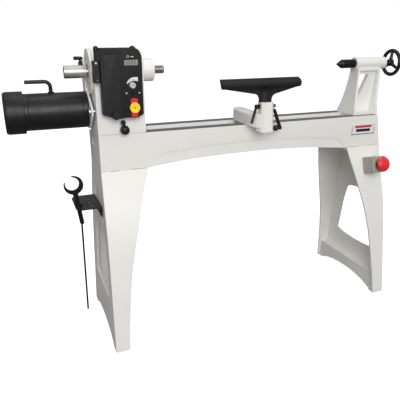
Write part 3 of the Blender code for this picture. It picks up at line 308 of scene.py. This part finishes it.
def recast(node, mats, width=1.5, name=None, angle=34, segments=3, mark=None, flat=1.0,
           clamp=True):
    bm = clean_copy(node, flat)
    if mark:
        for f in bm.faces:
            f.material_index = mark(f.calc_center_median(), f.normal)
    obj = made(name or node + "_cast", to_mesh(node, bm), mats, body_of(node), (node,))
    if width:
        bevel(obj, width, angle, segments, clamp=clamp)
    return obj


def soften(profile, r, n=4):
    """The profile with its corners rounded to radius r, where there is room."""
    out = []
    for i, p in enumerate(profile):
        if i in (0, len(profile) - 1):
            out.append(tuple(p))
            continue
        a, b, c = (Vector(profile[i - 1]), Vector(p), Vector(profile[i + 1]))
        u, v = a - b, c - b
        reach = min(r, u.length * 0.45, v.length * 0.45)
        if reach < 0.05 or u.angle(v) > math.radians(172):
            out.append(tuple(p))
            continue
        s, e = b + u.normalized() * reach, b + v.normalized() * reach
        for k in range(n + 1):
            t = k / n
            q = s * (1 - t) ** 2 + b * 2 * t * (1 - t) + e * t * t
            out.append((q.x, q.y))
    return out


AXES = {"X": (Vector((1, 0, 0)), Vector((0, 1, 0)), Vector((0, 0, 1))),
        "Y": (Vector((0, 1, 0)), Vector((1, 0, 0)), Vector((0, 0, 1))),
        "Z": (Vector((0, 0, 1)), Vector((1, 0, 0)), Vector((0, 1, 0)))}


def lathe(profile, axis, centre, steps=72, closed=False, shape=None, bm=None, index=0):
    """Turns (radius, along) pairs in mm about an axis through centre; shape(r, a, turn) edits r."""
    bm = bm or bmesh.new()
    if isinstance(axis, str):
        along, u, v = AXES[axis]
    else:
        along = Vector(axis).normalized()
        u = along.orthogonal().normalized()
        v = along.cross(u)
    centre = Vector(centre)
    rings = []
    for r, a in profile:
        if r < 1e-6:
            p = centre + along * a
            rings.append([bm.verts.new(mm(*p))])
            continue
        ring = []
        for k in range(steps):
            t = 2 * math.pi * k / steps
            rr = shape(r, a, t) if shape else r
            p = centre + along * a + u * (rr * math.cos(t)) + v * (rr * math.sin(t))
            ring.append(bm.verts.new(mm(*p)))
        rings.append(ring)
    pairs = list(zip(rings, rings[1:]))
    if closed:
        pairs.append((rings[-1], rings[0]))
    faces = []
    for a, b in pairs:
        if len(a) == 1 and len(b) == 1:
            continue
        for k in range(steps):
            n = (k + 1) % steps
            if len(a) == 1:
                quad = (a[0], b[k], b[n])
            elif len(b) == 1:
                quad = (a[k], a[n], b[0])
            else:
                quad = (a[k], a[n], b[n], b[k])
            faces.append(bm.faces.new(quad))
    if not closed:
        for ring, flip in ((rings[0], 1), (rings[-1], 0)):
            if len(ring) > 1:
                faces.append(bm.faces.new(ring[::-1] if flip else ring))
    for f in faces:
        f.material_index = index
    return bm


def whole(bm):
    bmesh.ops.recalc_face_normals(bm, faces=bm.faces)
    return bm


def turned(name, profile, axis, centre, mats, body, nodes=(), r=0.8, steps=72, closed=False,
           shape=None, smooth=35):
    ring = [profile[-1]] + list(profile) + [profile[0]] if closed else profile
    prof = soften(ring, r) if r else ring
    if closed:
        prof = prof[1:-1]
    bm = whole(lathe(prof, axis, centre, steps, closed, shape))
    return made(name, to_mesh(name, bm), mats, body, nodes, smooth)


def swept(points, radius, steps=24, fine=6, bm=None, index=0, caps=True):
    """A round bar along a smooth line through points; radius is a number or one per point."""
    bm = bm or bmesh.new()
    pts = [Vector(p) for p in points]
    rads = list(radius) if isinstance(radius, (list, tuple)) else [radius] * len(pts)
    path, rr = [], []
    for i in range(len(pts) - 1):
        p0, p1, p2, p3 = (pts[max(i - 1, 0)], pts[i], pts[i + 1], pts[min(i + 2, len(pts) - 1)])
        for k in range(fine):
            t = k / fine
            path.append(0.5 * ((2 * p1) + (p2 - p0) * t + (2 * p0 - 5 * p1 + 4 * p2 - p3) * t * t
                               + (3 * p1 - p0 - 3 * p2 + p3) * t ** 3))
            rr.append(rads[i] * (1 - t) + rads[i + 1] * t)
    path.append(pts[-1])
    rr.append(rads[-1])
    tangent = (path[1] - path[0]).normalized()
    u = tangent.orthogonal().normalized()
    rings = []
    for i, p in enumerate(path):
        now = (path[min(i + 1, len(path) - 1)] - path[max(i - 1, 0)]).normalized()
        u = tangent.rotation_difference(now) @ u
        tangent = now
        v = now.cross(u)
        rings.append([bm.verts.new(mm(*(p + (u * math.cos(a) + v * math.sin(a)) * rr[i])))
                      for a in (2 * math.pi * k / steps for k in range(steps))])
    faces = []
    for a, b in zip(rings, rings[1:]):
        for k in range(steps):
            n = (k + 1) % steps
            faces.append(bm.faces.new((a[k], a[n], b[n], b[k])))
    if caps:
        faces.append(bm.faces.new(rings[0][::-1]))
        faces.append(bm.faces.new(rings[-1]))
    for f in faces:
        f.material_index = index
    return bm


def globe(centre, r, bm=None, index=0, steps=32, squash=1.0):
    n = 16
    prof = [(r * math.sin(math.pi * k / n) if 0 < k < n else 0,
             -r * squash * math.cos(math.pi * k / n)) for k in range(n + 1)]
    return lathe(prof, "Z", centre, steps, False, None, bm, index)


def prism_bm(points, plane, a, b, bm=None, index=0):
    bm = bm or bmesh.new()
    put = {"XY": lambda u, v, w: mm(u, v, w), "XZ": lambda u, v, w: mm(u, w, v),
           "YZ": lambda u, v, w: mm(w, u, v)}[plane]
    low = [bm.verts.new(put(u, v, a)) for u, v in points]
    top = [bm.verts.new(put(u, v, b)) for u, v in points]
    faces = [bm.faces.new(low[::-1]), bm.faces.new(top)]
    for i in range(len(points)):
        n = (i + 1) % len(points)
        faces.append(bm.faces.new((low[i], low[n], top[n], top[i])))
    for f in faces:
        f.material_index = index
    return bm


def prism(name, points, plane, a, b, mats, body, nodes=(), width=0.3):
    obj = made(name, to_mesh(name, whole(prism_bm(points, plane, a, b))), mats, body, nodes)
    if width:
        bevel(obj, width, segments=2, clamp=True)
    return obj


def rounded(x0, x1, z0, z1, r, n=5):
    out = []
    for cx, cz, s in ((x1 - r, z1 - r, 0), (x0 + r, z1 - r, 90), (x0 + r, z0 + r, 180),
                      (x1 - r, z0 + r, 270)):
        for k in range(n + 1):
            a = math.radians(s + 90 * k / n)
            out.append((cx + r * math.cos(a), cz + r * math.sin(a)))
    return out


def paint(node, mat):
    obj = NODES[node]
    if not obj.material_slots:
        obj.data.materials.append(mat)
    for s in obj.material_slots:
        s.material = mat


def carve(obj, cutters):
    """Cuts the given meshes out of obj and keeps the result as its mesh."""
    bpy.context.view_layer.update()
    for i, mesh in enumerate(cutters):
        tool = bpy.data.objects.new("tool_%d" % i, mesh)
        bpy.context.scene.collection.objects.link(tool)
        m = obj.modifiers.new("cut", "BOOLEAN")
        m.operation = "DIFFERENCE"
        m.object = tool
        m.solver = "EXACT"
        bpy.context.view_layer.update()
        graph = bpy.context.evaluated_depsgraph_get()
        fresh = bpy.data.meshes.new_from_object(obj.evaluated_get(graph))
        obj.modifiers.clear()
        obj.data = fresh
        bpy.data.objects.remove(tool, do_unlink=True)
    for p in obj.data.polygons:
        p.use_smooth = True
    obj.data.set_sharp_from_angle(angle=math.radians(35))
    return obj


def slotted_screw(name, centre, axis, r, height, mat, body, socket=0.5):
    """A socket-head screw: a domed head with a round recess."""
    prof = soften([(0, -1), (r, -1), (r, height), (r * socket, height), (r * socket, height * 0.35),
                   (0, height * 0.35)], 0.5)
    return turned(name, prof, axis, centre, mat, body, r=0, steps=36)


# ----------------------------------------------------------------------- base
def bed_faces(c, n):
    y, z = c.y * 1000, c.z * 1000
    if n.z > 0.9 and z > 894.0:
        return 1
    return 0


recast("lathe_bed", [WHITE, WAY], 1.6, "bed_casting", mark=bed_faces)
recast("stand_left", WHITE, 2.2, "left_stand_casting")
recast("stand_right", WHITE, 2.2, "right_stand_casting")
for n in ("bed_bolt_left_front", "bed_bolt_left_rear", "bed_bolt_right_front", "bed_bolt_right_rear"):
    recast(n, STEEL, 0.7, n + "_hex", angle=40)

prism("blank_plate", rounded(904, 1038, 798, 853, 4), "XZ", -94, -92.3, PLATE, "base",
      ("name_plate",), 0.4)
for i, (x0, x1, z0, z1, m) in enumerate(((922, 1020, 838, 848.5, PLATE_RED), (930, 1012, 819, 833, INK),
                                         (907, 1035, 806, 809.5, INK), (906, 907.2, 802, 849, INK),
                                         (1034.8, 1036, 802, 849, INK), (908, 1034, 850.4, 851.4, INK))):
    prism("plate_band_%d" % i, rounded(x0, x1, z0, z1, min(1.5, (z1 - z0) / 2.2)), "XZ", -94.12,
          -93.9, m, "base", width=0)
for i, (x, z) in enumerate(((909.5, 832), (1032.5, 832))):
    turned("plate_rivet_%d" % i, [(0, -95.4), (1.4, -95.1), (2.6, -94.4), (2.8, -93.6), (0, -93.4)],
           "Y", (x, 0, z), ALU, "base", r=0, steps=28)

recast("tool_holder_bracket", BLACK_PAINT, 0.9, "holder_shelf", angle=40)
for i, y in enumerate((-58, 90)):
    turned("holder_screw_%d" % i, [(0, -309.6), (2.6, -309.4), (5.4, -308.2), (6.3, -306.2), (6.3, -304),
                                   (0, -304)], "X", (0, y, 572), DARK_STEEL, "base", r=0.3, steps=36)
recast("spindle_wrench", DARK_STEEL, 0.8, "face_wrench", angle=40)
tilt = math.radians(0.9)
rod_bm = whole(lathe(soften([(0, 608), (6.5, 607.4), (7.5, 605), (7.5, 597), (4, 595.6), (4, 112), (3, 108),
                             (0, 108)], 0.8), "Z", (-390, -44, 0), 32))
rod_mesh = to_mesh("knockout_bar", rod_bm)
rod_mesh.transform(Matrix.Translation(mm(0, 0, 0)) @ Matrix.Rotation(tilt, 4, "Y")
                   @ Matrix.Translation(-mm(0, 0, 0)))
made("knockout_bar", rod_mesh, DARK_STEEL, body_of("knockout_rod"), ("knockout_rod",))

recast("remote_stop_box", GREY, 2.6, "remote_box", angle=40)
LEAN = Vector((0, -0.9610, 0.2764))
SPOT = Vector((1012, -118.5, 655.5)) + LEAN * 73
turned("remote_button_cap", [(0, 42), (10, 41.7), (18, 40.6), (27, 37.5), (33.5, 32), (35, 28.6), (35, 24),
                             (32, 21.5), (16, 20), (9, 18), (9, -30), (0, -30)], tuple(LEAN), tuple(SPOT),
       RED, body_of("remote_stop_button"), ("remote_stop_button",), r=1.4, steps=96)
turned("remote_button_collar", [(21, 0.3), (21, 4.5), (19.5, 6.5), (12, 6.5), (12, 0.3)], tuple(LEAN), tuple(SPOT),
       PLASTIC, "base", r=0.8, steps=64, closed=True)
across = Vector((0, 0.2764, 0.9610))
for i, (dx, dt) in enumerate(((-29, 31), (29, 31), (-29, -31), (29, -31))):
    c = SPOT + Vector((dx, 0, 0)) + across * dt
    turned("remote_screw_%d" % i, [(0, 0.5), (1.8, 0.7), (3.2, 0.4), (3.4, -0.4), (0, -0.6)], tuple(LEAN), tuple(c),
           STEEL, "base", r=0.2, steps=28)

# ------------------------------------------------------------------ headstock
recast("headstock_casting", WHITE, 2.4, "headstock_housing")
turned("bearing_cap_ring", [(43, -46), (45, -48), (45, -104.7), (35.9, -104.7), (35.9, -111.8),
                            (24.5, -111.8), (24.5, -46)], "X", (0, 0, HIGH), WHITE, "headstock",
       ("front_bearing_cap",), r=1.6, steps=96, closed=True)
for i in range(4):
    a = math.radians(45 + 90 * i)
    slotted_screw("cap_screw_%d" % i, (-46, 34 * math.cos(a), HIGH + 34 * math.sin(a)), "X", 3.6, 1.6,
                  DARK_STEEL, "headstock")


def thread(lo, hi, pitch, depth):
    def shape(r, a, t):
        if lo < a < hi and r > 15.5:
            f = (a / pitch - t / (2 * math.pi)) % 1.0
            return r - depth * abs(2 * f - 1)
        return r
    return shape


nose = [(15.3, 0)] + [(16.4, -1.5 - 0.55 * k) for k in range(73)] + [(14.8, -42.5), (14.8, -46), (22, -46),
        (22, -62), (20, -62.5), (20, -150), (17.5, -150.5), (17.5, -274), (15, -274.5), (15, -393),
        (5, -393), (5, -66), (7.3, -66), (8.9, 0)]
turned("spindle_shaft", nose, "X", (0, 0, HIGH), STEEL, "spindle_group", ("spindle",), r=0.4, steps=72,
       closed=True, shape=thread(-41.4, -1.4, 3.3, 1.5), smooth=50)


turned("outboard_wheel", [(23, -310), (24, -311), (24, -318), (23.5, -318.6), (23.5, -320.4), (24, -321),
                          (24, -383), (23.5, -383.6), (23.5, -385.4), (24, -386), (24, -393), (23, -394),
                          (15.3, -394), (15.3, -310)],
       "X", (0, 0, HIGH), ALU, "spindle_group", ("outboard_handwheel",), r=0.3, steps=144, closed=True)
for i, (x, a) in enumerate(((-328, 80), (-328, 260))):
    t = math.radians(a)
    d = (0, math.cos(t), math.sin(t))
    slotted_screw("wheel_set_screw_%d" % i, (x, 23.2 * d[1], HIGH + 23.2 * d[2]), d, 2.4, 0.7, DARK_STEEL,
                  "spindle_group")


for n in ("spindle_bearing_left", "spindle_bearing_right"):
    paint(n, STEEL)
paint("spindle_pulley", ALU)
paint("motor_pulley", ALU)
paint("drive_belt", RUBBER)
paint("motor_rotor", STEEL)
paint("motor_stator", COPPER)
paint("cooling_fan", PLASTIC)
paint("motor_pivot_pin", STEEL)
for n in ("headstock", "banjo", "tailstock"):
    recast(n + "_clamp_plate", CAST, 1.2, n + "_clamp_block")
    recast(n + "_clamp_bolt", STEEL, 0.7, n + "_clamp_screw", angle=40)

# The belt door, its hinge and its latch.
recast("belt_door", DOOR, 1.8, "belt_cover", angle=40)
recast("door_hinge_block", PLASTIC, 1.6, "hinge_body", angle=40)
turned("hinge_pin_cap", [(0, 1227.4), (5, 1226.5), (8.5, 1223), (9.5, 1218), (9.5, 1213.4), (4, 1213.4),
                         (4, 1100), (0, 1100)], "Z", (-287, -118, 0), PLASTIC, "headstock",
       ("door_hinge_pin",), r=1.2, steps=48)
turned("hinge_screw", [(0, -127.0), (2.6, -126.8), (4.6, -125.9), (5.0, -124.6), (5.0, -124.2), (0, -124.2)],
       "Y", (-290, 0, 1167), ALU, "headstock", r=0.3, steps=36)
turned("hinge_mark", [(0, -125.0), (1.1, -124.9), (1.5, -124.6), (0, -124.3)], "Y", (-289, 0, 1106), MARK,
       "headstock", r=0, steps=28)
turned("latch_knob", [(0, -120.5), (6.4, -120.5), (6.4, -126.6), (5, -126.6), (5, -130.5), (14, -130.5),
                      (16, -132.5), (16, -142), (13, -146), (5, -146), (4.2, -145.2), (0, -145.2)],
       "Y", (-230, 0, 976), PLASTIC, body_of("door_latch"), ("door_latch",), r=1.0, steps=72,
       shape=lambda r, a, t: r - (0.9 * (0.5 + 0.5 * math.cos(12 * t)) ** 2 if r > 14.5 and a > -143 else 0))
turned("latch_face", [(9.2, -145.8), (9.2, -146.15), (8.0, -146.15), (8.0, -145.8)], "Y", (-230, 0, 976),
       DOOR, body_of("door_latch"), r=0, steps=56, closed=True)

# The control panel and what is on it.
recast("control_panel", PANEL, 2.2, "panel_cover", angle=40)
# Painted shade: a flat near-black sheet around the display window stands in for the shade of its recess.
prism("display_shade_sheet", rounded(-190.5, -134, 1155.5, 1179.5, 3), "XZ", -130.9, -129.9, SHADE_BLACK, "headstock",
      width=0.3)
prism("display_window", rounded(-188, -136.5, 1158, 1177, 2), "XZ", -132.3, -130.2, LENS, "headstock",
      ("display_lens",), 0.5)


def digit(bm, x, z, w, h, which, t=1.3):
    """One seven-bar numeral whose lower left corner is x, z."""
    m = z + h / 2
    bars = {"a": (x + t * .6, x + w - t * .6, z + h - t, z + h), "g": (x + t * .6, x + w - t * .6, m - t / 2, m + t / 2),
            "d": (x + t * .6, x + w - t * .6, z, z + t), "f": (x, x + t, m + .3, z + h - .3),
            "b": (x + w - t, x + w, m + .3, z + h - .3), "e": (x, x + t, z + .3, m - .3),
            "c": (x + w - t, x + w, z + .3, m - .3)}
    for k in which:
        x0, x1, z0, z1 = bars[k]
        prism_bm(rounded(x0, x1, z0, z1, 0.4, 2), "XZ", -132.45, -132.25, bm)


figures = bmesh.new()
for i, which in enumerate(("abcdef", "abcdef", "abcdef", "abcdef")):
    digit(figures, -183.0 + 10.6 * i, 1162, 7.0, 11.2, which)
made("display_figures", to_mesh("display_figures", whole(figures)), INK, "headstock")


line = [(-183, 1094.5), (-178.5, 1101.5), (-172, 1108), (-164, 1112.6), (-156, 1114.6), (-148, 1115.2),
        (-139.5, 1115.2), (-138.6, 1099), (-143, 1100.4), (-148, 1101.4), (-154, 1102), (-160, 1101.6),
        (-166, 1100), (-172, 1097.2), (-177.5, 1093.6), (-181, 1091.2)]
prism("speed_scale", line, "XZ", -130.35, -129.9, MARK, "headstock", width=0)
for i in range(6):
    a = math.radians(150 - 17 * i)
    u, v = math.cos(a), math.sin(a)
    r0, r1, w = 17.6, 20.5 + i * 0.6, 0.4
    pts = [(-162 + u * r0 - v * w, 1086 + v * r0 + u * w), (-162 + u * r0 + v * w, 1086 + v * r0 - u * w),
           (-162 + u * r1 + v * w, 1086 + v * r1 - u * w), (-162 + u * r1 - v * w, 1086 + v * r1 + u * w)]
    prism("scale_tick_%d" % i, pts, "XZ", -130.5, -130.3, INK, "headstock", width=0)
turned("speed_dial", [(0, -121), (5.5, -121), (5.5, -126.6), (3, -126.6), (3, -130.6), (11.5, -130.6),
                      (12.2, -132), (11.2, -144.5), (10.2, -146.6), (6, -147), (0, -147)],
       "Y", (-162, 0, 1086), KNOB, "knob", ("speed_knob",), r=0.8, steps=96,
       shape=lambda r, a, t: r - (0.7 * (0.5 + 0.5 * math.cos(18 * t)) ** 3 if r > 8 and -145 < a < -132 else 0))
prism("dial_pointer", rounded(-162.8, -161.2, 1087, 1096, 0.7), "XZ", -147.0, -146.4, INK, "knob", width=0)
for i, (x0, x1, z0, z1) in enumerate(((-187.5, -182.5, 1054.5, 1059.5), (-137.5, -132.5, 1054.5, 1059.0),
                                      (-165, -151, 1187.3, 1189.6))):
    prism("panel_mark_%d" % i, rounded(x0, x1, z0, z1, 0.9, 3), "XZ", -130.3, -129.9, MARK, "headstock",
          width=0)
turned("panel_icon", [(4.6, -129.9), (4.6, -130.3), (3.4, -130.3), (3.4, -129.9)], "Y", (-174, 0, 1189),
       MARK, "headstock", r=0, steps=40, closed=True)
turned("switch_ring", [(8.2, -129.9), (8.2, -131.6), (7.2, -132.6), (5.6, -132.6), (5.6, -129.9)], "Y",
       (-161, 0, 1057), PLASTIC, "headstock", r=0.4, steps=48, closed=True)
bat = globe((-161, -128.5, 1057), 4.6)
swept([(-161, -128.5, 1057), (-161, -136, 1057), (-161, -143.6, 1057)], [2.0, 2.3, 3.0], 24, 4, bat)
globe((-161, -142.0, 1057), 3.0, bat)
made("switch_bat", to_mesh("switch_bat", whole(bat)), PLASTIC, "switch", ("direction_switch",))
# Painted shade: a flat near-black sheet behind the stop paddle stands in for the shade around it.
prism("stop_shade_sheet", rounded(-173, -138, 964, 1040, 4), "XZ", -130.9, -129.9, SHADE_BLACK, "headstock", width=0.3)
recast("stop_paddle", RED, 1.2, "stop_flap", angle=40)
turned("safety_disc", [(0, -130), (4, -130), (4, -138.3), (18, -138.3), (20, -140.3), (20, -145.6),
                       (18.5, -147.6), (12, -148), (10.5, -147.2), (0, -147.2)], "Y", (-158, 0, 1003),
       YELLOW, "key", ("safety_key",), r=0.9, steps=72)
turned("safety_rivet", [(0, -147.9), (2.2, -147.8), (3.2, -147.0), (0, -146.9)], "Y", (-158, 0, 1003), RED,
       "key", r=0, steps=28)

# Headstock lock.
bm = lathe(soften([(0, 52), (9.5, 52), (9.5, -96), (15, -97), (18, -101), (18, -116), (15, -124), (8, -128),
                   (0, -129)], 2), "Y", (-194, 0, 914), 48)
swept([(-194, -110, 914), (-197, -113, 930), (-200, -114, 942)], [6, 5.4, 5], 24, 5, bm)
globe((-200, -114, 944), 10, bm)
made("head_lock_handle", to_mesh("head_lock_handle", whole(bm)), GRIP, "head_lock",
     ("headstock_lock_lever",))

# ---------------------------------------------------------------------- motor
recast("motor_plate", WHITE, 0.9, "motor_mount", angle=40)
bm = lathe(soften([(0, -327), (10.5, -327), (10.5, -312.4), (5, -312.4), (5, -287), (0, -287)], 1.2), "X",
           (0, 75, 1152), 40)
swept([(-320, 75, 1154), (-320, 75, 1165), (-320, 75, 1176)], [5, 4.5, 4.5], 20, 3, bm)
swept([(-313.5, 75, 1176), (-326, 75, 1176), (-338, 75, 1176)], [6.4, 7.0, 7.4], 28, 4, bm)
globe((-338, 75, 1176), 7.7, bm)
globe((-313.8, 75, 1176), 6.4, bm)
made("motor_lock_handle", to_mesh("motor_lock_handle", whole(bm)), GRIP, "motor_lock", ("motor_lock_lever",))

MY, MZ = 40, 980
barrel = [(68, -312.4), (70, -313), (71, -315.5), (71, -330), (70.2, -331), (70.2, -333), (71, -334),
          (71, -536), (70.2, -537), (70.2, -539), (71, -540), (71, -553), (77.4, -554), (77.4, -562),
          (50.3, -562), (50.3, -332), (13, -332), (13, -312.4)]
motor = turned("motor_barrel", barrel, "X", (0, MY, MZ), MOTOR, "motor", ("motor_body",), r=1.2, steps=96,
               closed=True)
carve(motor, [to_mesh("eye", whole(lathe([(0, 1036), (7.9, 1036), (7.9, 1070), (0, 1070)], "Z",
                                         (-445, MY, 0), 32)))])
cover = turned("fan_shroud", [(0, -620.5), (73, -620.5), (77.8, -616), (77.8, -551), (81, -551), (81, -612),
                              (79.8, -618.5), (75, -624), (66, -624), (64, -623.2), (62, -624), (0, -624)],
               "X", (0, MY, MZ), COVER, "motor", ("motor_fan_cover",), r=1.6, steps=96)
vents = []
for i in range(8):
    t = math.radians(45 * i)
    y, z = MY + 46 * math.cos(t), MZ + 46 * math.sin(t)
    vents.append(to_mesh("vent", whole(lathe([(0, -640), (11, -640), (11, -610), (0, -610)], "X", (0, y, z), 32))))
carve(cover, vents)
for i in range(3):
    t = math.radians(30 + 120 * i)
    d = (0, math.cos(t), math.sin(t))
    slotted_screw("shroud_screw_%d" % i, (-558, MY + 80.6 * d[1], MZ + 80.6 * d[2]), d, 3.4, 0.4, DARK_STEEL, "motor")
hook = ([(-445, MY, z) for z in (1039, 1056, 1072)]
        + [(-467 + 22 * math.cos(math.radians(a)), MY, 1072 + 22 * math.sin(math.radians(a)))
           for a in (18, 36, 54, 72, 90)] + [(-490, MY, 1094), (-515, MY, 1094), (-539, MY, 1094)])
bm = swept(hook, [7.4] * (len(hook) - 1) + [7.0], 32, 4)
made("motor_handle", to_mesh("motor_handle", whole(bm)), GRIP, body_of("motor_lift_handle"),
     ("motor_lift_handle",))
turned("handle_collar", [(7.7, 1050.5), (12, 1050.5), (12, 1053.5), (10.8, 1055.2), (7.7, 1055.2)], "Z",
       (-445, MY, 0), MOTOR, "motor", r=0.6, steps=48, closed=True)

# ---------------------------------------------------------- tool-rest carriage
recast("banjo", WHITE, 1.8, "banjo_casting")
bm = lathe(soften([(0, 424), (6, 424), (6, 428), (8.2, 429), (8.2, 440), (7, 441.3), (0, 441.3)], 0.6), "X",
           (0, -158, 981), 40)
made("banjo_stub", to_mesh("banjo_stub", whole(bm)), STUB, "banjo_body")
bm = swept([(433, -150, 960), (444, -150, 958), (459, -150, 922), (475.5, -150, 884)], 7.5, 32, 6)
lathe(soften([(0, 411), (6, 411), (6, 443), (0, 443)], 0.8), "X", (0, -150, 959), 32, False, None, bm)
globe((433.6, -150, 960), 8.0, bm)
globe((475.6, -150, 882.6), 8.2, bm)
swept([(475.5, -150, 882), (466, -152.6, 883), (453, -156, 884)], 6.8, 28, 4, bm)
globe((450, -157, 885), 12.9, bm)
made("banjo_handle", to_mesh("banjo_handle", whole(bm)), GRIP, "banjo_lever", ("banjo_clamp_lever",))
turned("rest_shank", [(0, 905), (11.7, 905), (12.6, 906), (12.6, 1035), (11.7, 1036), (0, 1036)], "Z",
       (391, -158, 0), STEEL, body_of("tool_rest_post"), ("tool_rest_post",), r=0.4, steps=72)
recast("tool_rest", BLACK_PAINT, 1.3, "rest_bar", angle=40)
recast("rest_lock_lever", GRIP, 0.9, "rest_handle", angle=60)

# ------------------------------------------------------------------ tailstock
recast("tailstock_casting", WHITE, 2.2, "tailstock_housing")
turned("quill_sleeve", [(19, 1075), (20, 1074), (20, 898), (18, 896), (7.4, 896), (7.4, 921), (8.5, 923),
                        (8.5, 1075)], "X", (0, 0, HIGH), DARK_STEEL, "quill_body", ("quill",), r=0.6,
       steps=96, closed=True)
turned("centre_point", [(0, 919), (7, 919), (7, 895.6), (12.5, 895.6), (12.5, 893), (20, 893), (20, 889.5),
                        (19.2, 888.8), (19.2, 887.6), (20, 886.9), (20, 880), (18.5, 877.5), (3, 852),
                        (0, 847.5)], "X", (0, 0, HIGH), DARK_STEEL, "center", ("live_center",), r=0.5,
       steps=72)
turned("feed_screw", [(0, 968)] + [(7.9, 968.5 + 0.8 * k) for k in range(178)]
       + [(7.9, 1111), (19.8, 1111), (19.8, 1121), (7.9, 1121), (7.9, 1160), (0, 1160)], "X", (0, 0, HIGH),
       STEEL, body_of("lead_screw"), ("lead_screw",), r=0, steps=32,
       shape=lambda r, a, t: r - (0.9 * abs(2 * ((a / 4 - t / (2 * math.pi)) % 1.0) - 1)
                                  if 969 < a < 1109 and r < 9 else 0), smooth=50)
bm = bmesh.new()
ring = [(56 + 8.9 * math.cos(2 * math.pi * k / 20), 1175 + 8.9 * math.sin(2 * math.pi * k / 20))
        for k in range(20)]
lathe(ring, "X", (0, 0, HIGH), 96, True, None, bm)
lathe(soften([(0, 1181), (8, 1181), (14, 1180.4), (17, 1177), (17, 1161), (13, 1150), (14, 1123.4), (0, 1123.4)],
             1.5), "X", (0, 0, HIGH), 64, False, None, bm)
for a in (90, 210, 330):
    t = math.radians(a)
    u = Vector((0, math.cos(t), math.sin(t)))
    c = Vector((1170, 0, HIGH))
    swept([c + u * 11, c + u * 24 + Vector((1, 0, 0)), c + u * 38 + Vector((3, 0, 0)),
           c + u * 50 + Vector((5, 0, 0))], [9, 8, 7, 6.5], 24, 4, bm)
made("feed_wheel", to_mesh("feed_wheel", whole(bm)), GRIP, "handwheel", ("tailstock_handwheel",))
turned("feed_wheel_cap", [(0, 1182.2), (4, 1182.0), (6.4, 1181.2), (6.6, 1180.6), (0, 1180.4)], "X",
       (0, 0, HIGH), STEEL, "handwheel", r=0, steps=40)
recast("tailstock_lock_lever", GRIP, 0.9, "tail_lock_handle", angle=60)
recast("quill_lock_lever", GRIP, 0.7, "quill_lock_handle", angle=60)

# ------------------------------------------------------- floor, light, camera
floor_mat = Graph("pale_floor")
floor_mat.link(floor_mat.mix(floor_mat.ranged(floor_mat.noise(3, 3), 0, 1), (0.93, 0.93, 0.93, 1),
                             (0.95, 0.95, 0.95, 1)), floor_mat.bsdf.inputs["Base Color"])
floor_mat.bsdf.inputs["Roughness"].default_value = 0.9
floor_mat.bsdf.inputs["Specular IOR Level"].default_value = 0.1
floor_mat.bsdf.inputs["Emission Color"].default_value = (1, 1, 1, 1)
seen = floor_mat.add("ShaderNodeLightPath").outputs["Is Camera Ray"]
tone = floor_mat.bsdf.inputs["Base Color"].links[0].from_socket
floor_mat.link(floor_mat.mix(seen, (0.22, 0.22, 0.22, 1), tone), floor_mat.bsdf.inputs["Base Color"])
floor_mat.link(floor_mat.math("MULTIPLY", seen, 0.78), floor_mat.bsdf.inputs["Emission Strength"])
bm = bmesh.new()
bmesh.ops.create_grid(bm, x_segments=2, y_segments=2, size=30)
floor = bpy.data.objects.new("studio_floor", to_mesh("studio_floor", bm))
bpy.context.scene.collection.objects.link(floor)
floor.location.z = -0.0005
floor.data.materials.append(floor_mat.mat)

world = bpy.data.worlds.new("studio")
bpy.context.scene.world = world
world.use_nodes = True
world.node_tree.nodes["Background"].inputs[0].default_value = (1, 1, 1, 1)
path = world.node_tree.nodes.new("ShaderNodeLightPath")
level = world.node_tree.nodes.new("ShaderNodeMapRange")
level.inputs[3].default_value, level.inputs[4].default_value = 0.38, 1.0
world.node_tree.links.new(path.outputs["Is Camera Ray"], level.inputs[0])
world.node_tree.links.new(level.outputs[0], world.node_tree.nodes["Background"].inputs[1])


def lamp(name, place, aim, size, power):
    data = bpy.data.lights.new(name, "AREA")
    data.shape = "RECTANGLE"
    data.size, data.size_y = size
    data.energy = power
    obj = bpy.data.objects.new(name, data)
    obj.location = place
    obj.rotation_euler = (Vector(aim) - Vector(place)).to_track_quat("-Z", "Y").to_euler()
    bpy.context.scene.collection.objects.link(obj)


lamp("key_softbox", (-0.7, -4.1, 2.5), (0, 0, 0.6), (2.6, 2.2), 124)
lamp("top_softbox", (0.4, 0.2, 4.2), (0, 0, 0.6), (3.6, 2.4), 40)
lamp("left_softbox", (-4.0, -0.8, 2.4), (-0.5, 0, 0.9), (1.6, 1.8), 14)
lamp("right_softbox", (3.6, -1.2, 1.8), (0, 0, 0.7), (1.6, 2.4), 6)

cam_data = bpy.data.cameras.new("view_camera")
cam_data.lens = 42.58
cam_data.sensor_width = 36
cam = bpy.data.objects.new("view_camera", cam_data)
bpy.context.scene.collection.objects.link(cam)
cam.location = (-0.8658, -1.9171, 1.2814)
yaw, pitch = 0.3721, -0.3452
gaze = Vector((math.sin(yaw) * math.cos(pitch), math.cos(yaw) * math.cos(pitch), math.sin(pitch)))
cam.rotation_euler = gaze.to_track_quat("-Z", "Y").to_euler()
bpy.context.scene.camera = cam
bpy.context.scene.view_settings.view_transform = "Standard"
bpy.context.scene.view_settings.look = "None"
